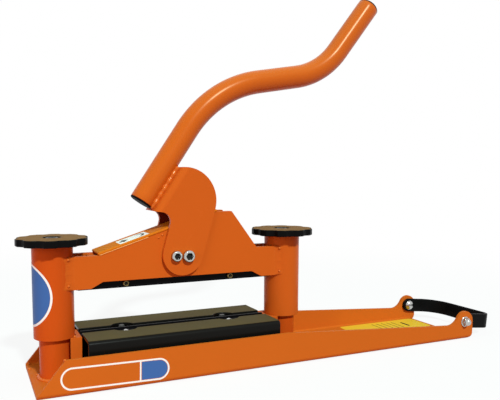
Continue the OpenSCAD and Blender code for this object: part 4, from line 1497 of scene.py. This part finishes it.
    def disc(self) -> None:
        """A plain round sticker that wraps the left sleeve: a pale ring round one bare coloured field."""
        q = self.disc_r
        t = np.linspace(0.0, FULL_TURN, 160, endpoint=False)
        ring = np.stack([np.stack([k * np.cos(t), k * np.sin(t)], -1) for k in np.linspace(q - self.disc_rim, q, 5)])
        SHOP.dress(make_piece("sleeve_sticker_ring", self.wrapped(ring, True), Sharp.CRISP), CREAM_FILM, Body.BRIDGE)
        field = self.wrapped(self.round_field(q - self.disc_rim - 0.2), False)
        SHOP.dress(make_piece("sleeve_sticker", field, Sharp.CRISP), BLUE_FILM, Body.BRIDGE)

    @staticmethod
    def round_field(q: float) -> Array:
        """A flat disc in rows at the height q sin(a), each 2 q cos(a) wide, a from -89 to 89 degrees.

        Args:
            q: the disc's radius.

        Returns:
            Its points in rows and columns.
        """
        a = np.radians(np.linspace(-89.0, 89.0, 60))[:, None]
        u = q * np.cos(a) * np.linspace(-1.0, 1.0, 60)
        return np.stack([u, np.broadcast_to(q * np.sin(a), u.shape)], -1)

    def wrapped(self, flat: Array, loop: bool) -> list[Grid]:
        """Wrap a flat film round the left sleeve: u goes to the angle a0 + u / R and v to the height z0 + v.

        Args:
            flat: points of the flat film in rows and columns, in millimetres from the sticker's middle.
            loop: whether each row runs once round.

        Returns:
            The film's sheets.
        """
        sheets = []
        for r in (COLUMNS.sleeve_r + 0.12, COLUMNS.sleeve_r - 0.3):
            a = math.radians(self.disc_deg) + flat[..., 0] / COLUMNS.sleeve_r
            z = self.disc_z + flat[..., 1]
            sheets.append(np.stack([r * np.cos(a) - COLUMNS.x, r * np.sin(a), z], -1) * MM)
        if loop:
            return [Grid(np.concatenate([sheets[0], sheets[1][::-1]]), wrap_rows=True)]
        return slab(sheets[0], sheets[0] - sheets[1])


@dataclass
class HeightScrew:
    """A star knob and its bolt on top of a sleeve, sizes in millimetres."""

    side: int
    body: Body
    name: str
    set_deg: float
    radius: float = 53.0
    hollow: float = 4.0
    lobes: int = 10
    hollow_r: float = 13.9
    low: float = 206.5
    high: float = 217.5
    recess_r: float = 13.0
    recess: float = 3.0
    blend: float = 0.8
    rim_r: float = 1.5
    screw: CapScrew = CapScrew(20.0, 2.4, ((8.0, 16.0),), chamfer=1.1)

    def build(self) -> None:
        """Make and dress the knob and its bolt."""
        knob = make_piece(self.name + "_star", [self.star()], Sharp.MOULDED)
        SHOP.stand_in(knob, self.name, KNOB_PLASTIC, self.body)
        seat = np.array([self.side * COLUMNS.x, 0.0, self.high - self.recess]) * MM
        bolt = make_piece(self.name + "_screw", [self.screw.grid(seat, ALONG_Z)], Sharp.CRISP)
        # The screw in the knob's recess gets the darker zinc: painted shade.
        SHOP.stand_in(bolt, self.name + "_bolt", SHADED_ZINC, self.body)

    def outline(self, t: Array) -> Array:
        """Radius of the star at each angle: the lesser of the outer circle and the hollow circles, blended.

        A hollow circle of radius c whose centre is d away is met at d cos(t) - sqrt(c^2 - d^2 sin^2(t)), with t
        counted from the nearest hollow, and angle zero lies along +Y; the blend is -k log(exp(-a / k) + exp(-b / k)).

        Args:
            t: angles in radians.

        Returns:
            Radii in millimetres.
        """
        step = FULL_TURN / self.lobes
        near = np.mod(t + QUARTER - math.radians(self.set_deg) + step / 2, step) - step / 2
        d = self.radius - self.hollow + self.hollow_r
        under = self.hollow_r**2 - (d * np.sin(near)) ** 2
        cut = np.where(under > 0, d * np.cos(near) - np.sqrt(np.maximum(under, 0.0)), 2 * self.radius)
        lesser, other = np.minimum(cut, self.radius), np.maximum(cut, self.radius)
        return lesser - self.blend * np.log1p(np.exp((lesser - other) / self.blend))

    def star(self) -> Grid:
        """The knob: rows from the middle of the underside over the rounded rim to the recess and its floor.

        Each row's radius is b (1 - w) + w (star - inset), so rows near the middle are round and rows at the rim
        follow the star.

        Returns:
            The closed sheet.
        """
        t = np.linspace(0.0, FULL_TURN, 360, endpoint=False)
        star = self.outline(t)
        e, h = self.rim_r, self.high
        a = np.linspace(-QUARTER, 0.0, 7)
        b = np.linspace(0.0, QUARTER, 7)
        rim = np.concatenate([
            np.stack([0 * a, 0 * a + 1, e - e * np.cos(a), self.low + e + e * np.sin(a)], -1),
            np.stack([0 * b, 0 * b + 1, e - e * np.cos(b), h - e - 0.25 + e * np.sin(b)], -1),
        ])
        q = self.recess_r
        middle = np.array([(36, 0.0, 0, h), (q + 9, 0, 0, h), (q + 1.2, 0, 0, h), (q + 0.3, 0, 0, h - 0.4),
                           (q, 0, 0, h - 1.2), (q, 0, 0, h - self.recess), (0, 0, 0, h - self.recess)])
        under = np.array([(0.0, 0, 0, self.low), (28, 0, 0, self.low)])
        base, weight, inset, z = np.concatenate([under, rim, middle]).T
        r = base[:, None] * (1 - weight[:, None]) + weight[:, None] * (star - inset[:, None])
        return spun(r * MM, z * MM, (self.side * COLUMNS.x * MM, 0.0, 0.0), ALONG_Z)


@dataclass
class PressBar:
    """The press bar with its blade and screws, sizes in millimetres."""

    bolt_x: float = 88.0
    bolt_z: float = 143.0
    half_w: float = 13.7
    screw: CapScrew = CapScrew(10.0, 5.0, ((6.0, 32.4),))
    nut: HexNut = HexNut(11.0, 5.0, 6.0)

    def build(self) -> None:
        """Make and dress all pieces."""
        for node, width in (("press_bar", 0.8), ("upper_blade", 0.4)):
            SHOP.dress(softened(node, width * MM), BLACK_COAT, Body.PRESS)
        seats = [(s * self.bolt_x * MM, -self.half_w * MM, self.bolt_z * MM) for s in LEFT_RIGHT]
        screws = make_piece("upper_blade_screws", [self.screw.grid(p, (0, -1, 0)) for p in seats], Sharp.CRISP)
        SHOP.stand_in(screws, "upper_blade_bolts", YELLOW_PASSIVATE, Body.PRESS)
        # Dark discs in the sockets: painted shade.
        shades = make_piece("upper_blade_socket_shades", [self.screw.shade(p, (0, -1, 0)) for p in seats], Sharp.CRISP)
        SHOP.dress(shades, SOCKET_SHADE, Body.PRESS)
        nuts = make_piece("upper_blade_hex", [self.nut.grid((x, -y, z), ALONG_Y) for x, y, z in seats], Sharp.CRISP)
        SHOP.stand_in(nuts, "upper_blade_nuts", YELLOW_PASSIVATE, Body.PRESS)


@dataclass
class Lever:
    """The cranked tube, its plugs, clevis, welds and crank bolt, sizes in millimetres."""

    pivot: Pair = PIVOT
    lean_deg: float = 56.0
    start: float = 45.0
    offset: float = 86.0
    outer_r: float = 19.0
    inner_r: float = 16.0
    legs: tuple[Triple, ...] = ((137.0, 194.0, -46.0), (75.0, 136.0, 42.0), (102.5, 1.0, 0.0))
    weld_x: Pair = (42.5, 122.0)
    weld_y: float = 12.0
    weld_z: float = 69.0
    weld_r: float = 4.3
    weld_pitch: float = 3.1
    weld_swell: float = 0.13
    weld_seed: int = 70
    clevis_edge: float = 1.8
    lip: float = 0.8
    plug_rows: tuple[Pair, ...] = (
        (0, -16), (15.4, -16), (15.9, -14), (15.9, 0), (18.9, 0), (19.0, 1.4), (17.6, 2.8), (9, 3), (0, 3),
    )
    plug_ease: float = 0.7
    crank: Pair = (9.17, 181.94)
    cheek_out: float = 31.0
    crank_screw: CapScrew = CapScrew(19.0, 8.0, ((12.0, 71.0),))
    crank_nut: HexNut = HexNut(20.0, 9.0, 12.0)

    def build(self) -> None:
        """Make and dress all pieces."""
        # The clevis coat is darker on its inside: painted shade.
        SHOP.dress(softened("lever_clevis", self.clevis_edge * MM, 3), ORANGE_CLEVIS, Body.LEVER)
        path, lean = self.centre_line()
        SHOP.stand_in(self.tube(path, lean), "lever_tube", ORANGE_TUBE, Body.LEVER)
        for name, node, spot, a in (("lower_plug", "lower_tube_plug", path[0], lean[0] + math.pi),
                                    ("upper_plug", "upper_tube_plug", path[-1], lean[-1])):
            out = (math.cos(a), 0.0, math.sin(a))
            SHOP.stand_in(self.plug(name, spot, out), node, PLUG_PLASTIC, Body.LEVER)
        self.welds()
        seat = (self.crank[0] * MM, -self.cheek_out * MM, self.crank[1] * MM)
        screw = make_piece("crank_screw", [self.crank_screw.grid(seat, (0, -1, 0))], Sharp.CRISP)
        SHOP.stand_in(screw, "crank_bolt", BRIGHT_ZINC, Body.LEVER)
        # A dark disc in the socket: painted shade.
        shade = make_piece("crank_socket_shade", [self.crank_screw.shade(seat, (0, -1, 0))], Sharp.CRISP)
        SHOP.dress(shade, SOCKET_SHADE, Body.LEVER)
        nut = make_piece("crank_hex", [self.crank_nut.grid((seat[0], -seat[1], seat[2]), ALONG_Y)], Sharp.CRISP)
        SHOP.stand_in(nut, "crank_nut", BRIGHT_ZINC, Body.LEVER)

    def in_lever(self, x: Array, y: Array, z: Array) -> Array:
        """Points of the lever's own frame, X along the tube and Z towards it, in the part's frame.

        Args:
            x: places along the tube from the pivot, in millimetres.
            y: places across, in millimetres.
            z: places towards the tube, in millimetres.

        Returns:
            The points in metres.
        """
        c, s = math.cos(math.radians(self.lean_deg)), math.sin(math.radians(self.lean_deg))
        return np.stack([self.pivot[0] + x * c - z * s, y, self.pivot[1] + x * s + z * c], -1) * MM

    def centre_line(self) -> tuple[Array, Array]:
        """The tube's centre line: straights and bends, the heading a turning evenly in each bend.

        In a bend of radius R the place moves by R (sin a - sin a0) and R (cos a0 - cos a) for a turn to the left.

        Returns:
            Points in metres and the heading at each in radians.
        """
        place = self.in_lever(np.array(self.start), np.array(0.0), np.array(self.offset)) / MM
        heading = math.radians(self.lean_deg)
        places, headings = [], []
        for length, radius, turn in self.legs:
            run = np.linspace(0.0, length, 14)[:, None]
            ahead = np.array([math.cos(heading), 0.0, math.sin(heading)])
            places.append(place + run * ahead)
            headings.append(np.full(14, heading))
            place = places[-1][-1]
            if turn:
                way = math.copysign(1.0, turn)
                a = heading + np.linspace(0.0, math.radians(turn), 40)[1:]
                dx = way * radius * (np.sin(a) - math.sin(heading))
                dz = way * radius * (math.cos(heading) - np.cos(a))
                places.append(place + np.stack([dx, 0 * dx, dz], -1))
                headings.append(a)
                place, heading = places[-1][-1], float(a[-1])
        points, first = np.concatenate(places), np.concatenate(headings)
        keep = np.concatenate([[True], np.linalg.norm(np.diff(points, axis=0), axis=1) > 1e-6])
        return points[keep] * MM, first[keep]

    def tube(self, path: Array, lean: Array) -> Piece:
        """The tube's wall: the outer skin out along the centre line and the bore back, with rounded lips.

        Args:
            path: the centre line.
            lean: its heading.

        Returns:
            The new piece.
        """
        lip, count = self.lip, len(path)
        tips = np.array([self.outer_r - lip, self.outer_r - 0.25 * lip])
        radii = np.concatenate([tips, np.full(count, self.outer_r), tips[::-1], np.full(count, self.inner_r)])
        ahead = np.stack([np.cos(lean), 0 * lean, np.sin(lean)], -1)
        inset = np.array([0.0, 0.25 * lip, lip])[:, None] * MM
        first = path[0] + inset * ahead[0]
        last = path[-1] - inset[::-1] * ahead[-1]
        line = np.concatenate([first, path[1:-1], last, path[::-1]])
        turn = np.concatenate([lean[:1], lean[:1], lean, lean[-1:], lean[-1:], lean[::-1]])
        phi = np.linspace(0.0, FULL_TURN, 56, endpoint=False)
        outline = radii[:, None, None] * np.stack([np.cos(phi), np.sin(phi)], -1) * MM
        square = np.stack([-np.sin(turn), 0 * turn, np.cos(turn)], -1)
        wall = swept(line, every(ALONG_Y, len(line)), square, outline, closed=True)
        return make_piece("bent_tube", [wall], Sharp.FLOWING)

    def plug(self, name: str, spot: Array, out: Vec) -> Piece:
        """An end plug: a stem in the bore and a cap with a rounded rim.

        Args:
            name: the piece's name.
            spot: the tube's end.
            out: direction out of the tube.

        Returns:
            The new piece.
        """
        return make_piece(name, [lathe(eased(self.plug_rows, self.plug_ease), spot, out)], Sharp.MOULDED)

    def welds(self) -> None:
        """Two beads along the tube, in the corners between it and the clevis."""
        count, beads = 150, []
        a = math.radians(self.lean_deg)
        toward = np.array([-math.sin(a), 0.0, math.cos(a)])
        x = np.linspace(*self.weld_x, count)
        for face in FRONT_BACK:
            wander = 0.5 * np.sin(x / 9.0 + face) + 0.3 * np.sin(x / 3.7)
            path = self.in_lever(x, face * (self.weld_y + wander), np.full(count, self.weld_z))
            beads.append(weld_bead(path, every(ALONG_Y, count), every(toward, count), self.weld_r * MM,
                                   self.weld_seed + face, False, self.weld_pitch, self.weld_swell))
        SHOP.dress(make_piece("lever_welds", beads, Sharp.FLOWING), ORANGE_WELD, Body.LEVER)


@dataclass
class CarryStrap:
    """The bowed strap at the tail with its bolts and nuts, sizes in millimetres."""

    ear: Pair = (545.5, 34.0)
    droop_deg: float = 6.0
    half_y: float = 73.2
    reach: float = 73.5
    corner_r: float = 19.5
    far_r: float = 40.0
    thickness: float = 5.0
    height: float = 27.0
    edge: float = 1.5
    wall_out: float = 81.0
    wall_in: float = 70.4
    bolt: DomeHead = DomeHead(19.0, 6.5, 10.0, 16.0)
    washer: DomeHead = DomeHead(19.0, 2.2, 10.2, 0.5)
    nut: CapNut = CapNut()

    def build(self) -> None:
        """Make and dress all pieces."""
        strap = make_piece("bowed_strap", [self.strap()], Sharp.MOULDED)
        SHOP.stand_in(strap, "carry_handle", STRAP_PLASTIC, Body.HANDLE)
        x, z = self.ear[0] * MM, self.ear[1] * MM
        heads, caps = [], []
        for face in FRONT_BACK:
            heads.append(self.bolt.grid((x, face * self.wall_in * MM, z), (0, -face, 0)))
            seat, out = (x, face * self.wall_out * MM, z), (0, face, 0)
            caps += [self.washer.grid(seat, out), self.nut.grid(seat, out)]
        bolts = make_piece("strap_bolts", heads, Sharp.NUT)
        SHOP.stand_in(bolts, "handle_bolts", BRIGHT_ZINC, Body.BASE)
        nuts = make_piece("strap_cap_nuts", caps, Sharp.CRISP)
        SHOP.stand_in(nuts, "handle_nuts", BRIGHT_ZINC, Body.BASE)

    def arm(self, r: float) -> Array:
        """One half of the strap's line in plan: half-round tip, straight arm, a quarter circle and half the bow.

        Args:
            r: radius of the corner, in millimetres.

        Returns:
            Rows of x, y and the outward direction's x and y, with y positive.
        """
        straight, half = self.reach - r, self.half_y
        tip = self.height / 2 * np.sin(np.linspace(-QUARTER, 0.0, 12))
        run = np.concatenate([tip, np.linspace(0.0, straight, 12)[1:]])
        corner = np.linspace(0.0, QUARTER, 24)[1:]
        bow = np.linspace(half - r, 0.0, 8)[1:]
        return np.stack([
            np.concatenate([run, straight + r * np.sin(corner), np.full(7, self.reach)]),
            np.concatenate([np.full(len(run), half), half - r + r * np.cos(corner), bow]),
            np.concatenate([0 * run, np.sin(corner), np.ones(7)]),
            np.concatenate([0 * run + 1, np.cos(corner), np.zeros(7)]),
        ])

    def strap(self) -> Grid:
        """The strap: a rounded flat section along one arm, round the bow and back along the other arm.

        Past the bolts the section's height shrinks as sqrt(h^2 - d^2), so the ends are half round.

        Returns:
            The closed sheet.
        """
        far, near = self.arm(self.far_r), self.arm(self.corner_r) * np.array([[1.0], [-1.0], [1.0], [-1.0]])
        px, py, nx, ny = np.concatenate([far, near[:, -2::-1]], axis=1)
        a = math.radians(self.droop_deg)
        turn = np.array([[math.cos(a), 0.0, -math.sin(a)], [0.0, 1.0, 0.0], [math.sin(a), 0.0, math.cos(a)]])
        home = np.array([self.ear[0], 0.0, self.ear[1]])
        path = (np.stack([px, py, 0 * px], -1) @ turn + home) * MM
        across = np.stack([nx, ny, 0 * nx], -1) @ turn
        up = every(np.array(ALONG_Z) @ turn, len(path))
        t, h, e = self.thickness / 2, self.height / 2, self.edge
        box = eased([(0, -h), (t, -h), (t, h), (-t, h), (-t, -h), (0, -h)], e, 5)[:-1]
        share = np.sqrt(np.clip(1 - (np.minimum(px, 0.0) / h) ** 2, 0.0, 1.0))
        outline = np.stack([np.broadcast_to(box[:, 0], (len(path), len(box))), share[:, None] * box[:, 1]], -1)
        return swept(path, across, up, outline * MM)


# Studio


@dataclass(frozen=True)
class SoftBox:
    """A lamp with an even face, sizes in metres and power in watts."""

    name: str
    place: Triple
    target: Triple
    size: Pair
    power: float
    colour: Colour


@dataclass
class Studio:
    """Camera, lamps, pale floor and white surroundings."""

    place: Triple = (-0.3118, -0.8925, 0.3108)
    yaw: float = 0.4070
    pitch_deg: float = 5.170
    lens: float = 42.22
    shift: Pair = (0.0649, 0.0542)
    fill: float = 0.31
    sun: float = 2.58
    sun_azimuth_deg: float = 273.0
    sun_height_deg: float = 41.0
    sun_softness_deg: float = 4.0
    sun_distance: float = 3.0
    floor_half: float = 12.0
    floor_drop: float = 0.2
    floor_fade: Pair = (0.65, 1.9)
    floor_tone: Colour = (0.92, 0.92, 0.92)
    floor_lift: float = 0.87
    floor_bounce: Colour = (0.52, 0.22, 0.26)
    fill_colour: Colour = (1.02, 0.89, 0.90)
    sun_colour: Colour = (0.84, 1.0, 0.96)
    boxes: tuple[SoftBox, ...] = (
        SoftBox("overhead_box", (0.1, -0.1, 1.7), (0.1, 0.0, 0.1), (1.4, 0.7), 6.0, (0.30, 1.0, 0.80)),
        SoftBox("left_box", (-1.3, -0.7, 0.45), (0.15, 0.0, 0.12), (0.7, 0.7), 4.2, (1.0, 0.84, 0.80)),
    )

    def build(self) -> None:
        """Make everything that isn't part of the object."""
        scene = bpy.context.scene
        scene.view_settings.view_transform = "Standard"
        self.camera(scene)
        self.world(scene)
        self.lamps()
        self.floor()

    def camera(self, scene: bpy.types.Scene) -> None:
        """Put the camera where the photograph was taken from.

        Args:
            scene: the scene that gets it.
        """
        data = bpy.data.cameras.new("camera")
        data.sensor_width = 36.0
        data.lens = self.lens
        data.shift_x, data.shift_y = self.shift
        data.clip_start, data.clip_end = 0.01, 50.0
        camera = bpy.data.objects.new("camera", data)
        camera.location = self.place
        camera.rotation_euler = (math.radians(90 - self.pitch_deg), 0.0, -self.yaw)
        scene.collection.objects.link(camera)
        scene.camera = camera

    @staticmethod
    def seen(tree: Tree) -> Socket:
        """One for rays that show the surroundings (camera, glossy and transmission rays), zero for the rest.

        Args:
            tree: the tree that gets the nodes.

        Returns:
            The mask.
        """
        path = put(tree, "ShaderNodeLightPath")
        total = path.outputs["Is Camera Ray"]
        for kind in ("Is Glossy Ray", "Is Transmission Ray"):
            total = calc(tree, "MAXIMUM", total, path.outputs[kind])
        return total

    def world(self, scene: bpy.types.Scene) -> None:
        """Soft even light, and white for the rays that see the surroundings.

        Args:
            scene: the scene that gets it.
        """
        world = bpy.data.worlds.new("studio")
        world.use_nodes = True
        scene.world = world
        tree = world.node_tree
        tree.nodes.clear()
        light = put(tree, "ShaderNodeBackground", {"Color": (*self.fill_colour, 1.0), "Strength": self.fill})
        white = put(tree, "ShaderNodeBackground", {"Color": (1.0, 1.0, 1.0, 1.0), "Strength": 1.0})
        mix = put(tree, "ShaderNodeMixShader", {0: self.seen(tree), 1: light.outputs[0], 2: white.outputs[0]})
        out = put(tree, "ShaderNodeOutputWorld")
        tree.links.new(mix.outputs[0], out.inputs["Surface"])

    def lamps(self) -> None:
        """A soft sun from the front, a long box overhead and a small one at the left."""
        sun = bpy.data.lights.new("sun", "SUN")
        sun.energy = self.sun
        sun.angle = math.radians(self.sun_softness_deg)
        sun.color = self.sun_colour
        a, e = math.radians(self.sun_azimuth_deg), math.radians(self.sun_height_deg)
        way = np.array([math.cos(e) * math.cos(a), math.cos(e) * math.sin(a), math.sin(e)])
        self.aim(sun, way * self.sun_distance, (0, 0, 0))
        for box in self.boxes:
            lamp = bpy.data.lights.new(box.name, "AREA")
            lamp.shape = "RECTANGLE"
            lamp.size, lamp.size_y = box.size
            lamp.energy = box.power
            lamp.color = box.colour
            self.aim(lamp, box.place, box.target).visible_glossy = False

    @staticmethod
    def aim(lamp: bpy.types.Light, place: Vec, target: Vec) -> bpy.types.Object:
        """Put a lamp somewhere and point it at a target.

        Args:
            lamp: the lamp.
            place: where it hangs.
            target: what it points at.

        Returns:
            The object that holds it.
        """
        holder = bpy.data.objects.new(lamp.name, lamp)
        holder.location = place
        holder.rotation_mode = "QUATERNION"
        holder.rotation_quaternion = (Vector(target) - Vector(place)).to_track_quat("-Z", "Y")
        bpy.context.scene.collection.objects.link(holder)
        return holder

    def floor(self) -> None:
        """A pale floor that keeps the shadow and fades to white away from the object."""
        ends = np.array([-self.floor_half, self.floor_half])
        g = np.stack(np.meshgrid(ends, ends, indexing="xy"), -1)
        points = np.concatenate([g, np.full(g.shape[:2] + (1,), -self.floor_drop * MM)], -1)
        floor = placed("floor", points.reshape(-1, 3), np.array([(0, 1, 3, 2)]))
        material = bpy.data.materials.new("pale_floor")
        material.use_nodes = True
        tree = material.node_tree
        tree.nodes.clear()
        seen = self.seen(tree)
        distance = put(tree, "ShaderNodeVectorMath", {0: object_place(tree)}, operation="LENGTH").outputs["Value"]
        fade = ranged(tree, distance, self.floor_fade, (self.floor_lift, 1.0), interpolation_type="SMOOTHSTEP")
        share = calc(tree, "MULTIPLY", fade, seen)
        tone = mixed(tree, self.floor_bounce, self.floor_tone, seen)
        matt = put(tree, "ShaderNodeBsdfDiffuse", {"Color": tone})
        white = put(tree, "ShaderNodeEmission", {"Color": (1.0, 1.0, 1.0, 1.0), "Strength": 1.0})
        mix = put(tree, "ShaderNodeMixShader", {0: share, 1: matt.outputs[0], 2: white.outputs[0]})
        out = put(tree, "ShaderNodeOutputMaterial")
        tree.links.new(mix.outputs[0], out.inputs["Surface"])
        floor.data.materials.append(material)


def main() -> None:
    """Build every sub-assembly, then the studio."""
    logging.basicConfig(level=logging.INFO, format="%(name)s: %(message)s")
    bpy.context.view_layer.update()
    SHOP.dress_solids()
    BaseFrame().build()
    StoneSupports().build()
    Bridge().build()
    HeightScrew(-1, Body.LEFT_KNOB, "left_knob", -11.0).build()
    HeightScrew(1, Body.RIGHT_KNOB, "right_knob", 7.0).build()
    PressBar().build()
    Lever().build()
    CarryStrap().build()
    Studio().build()


if __name__ == "__main__":
    main()
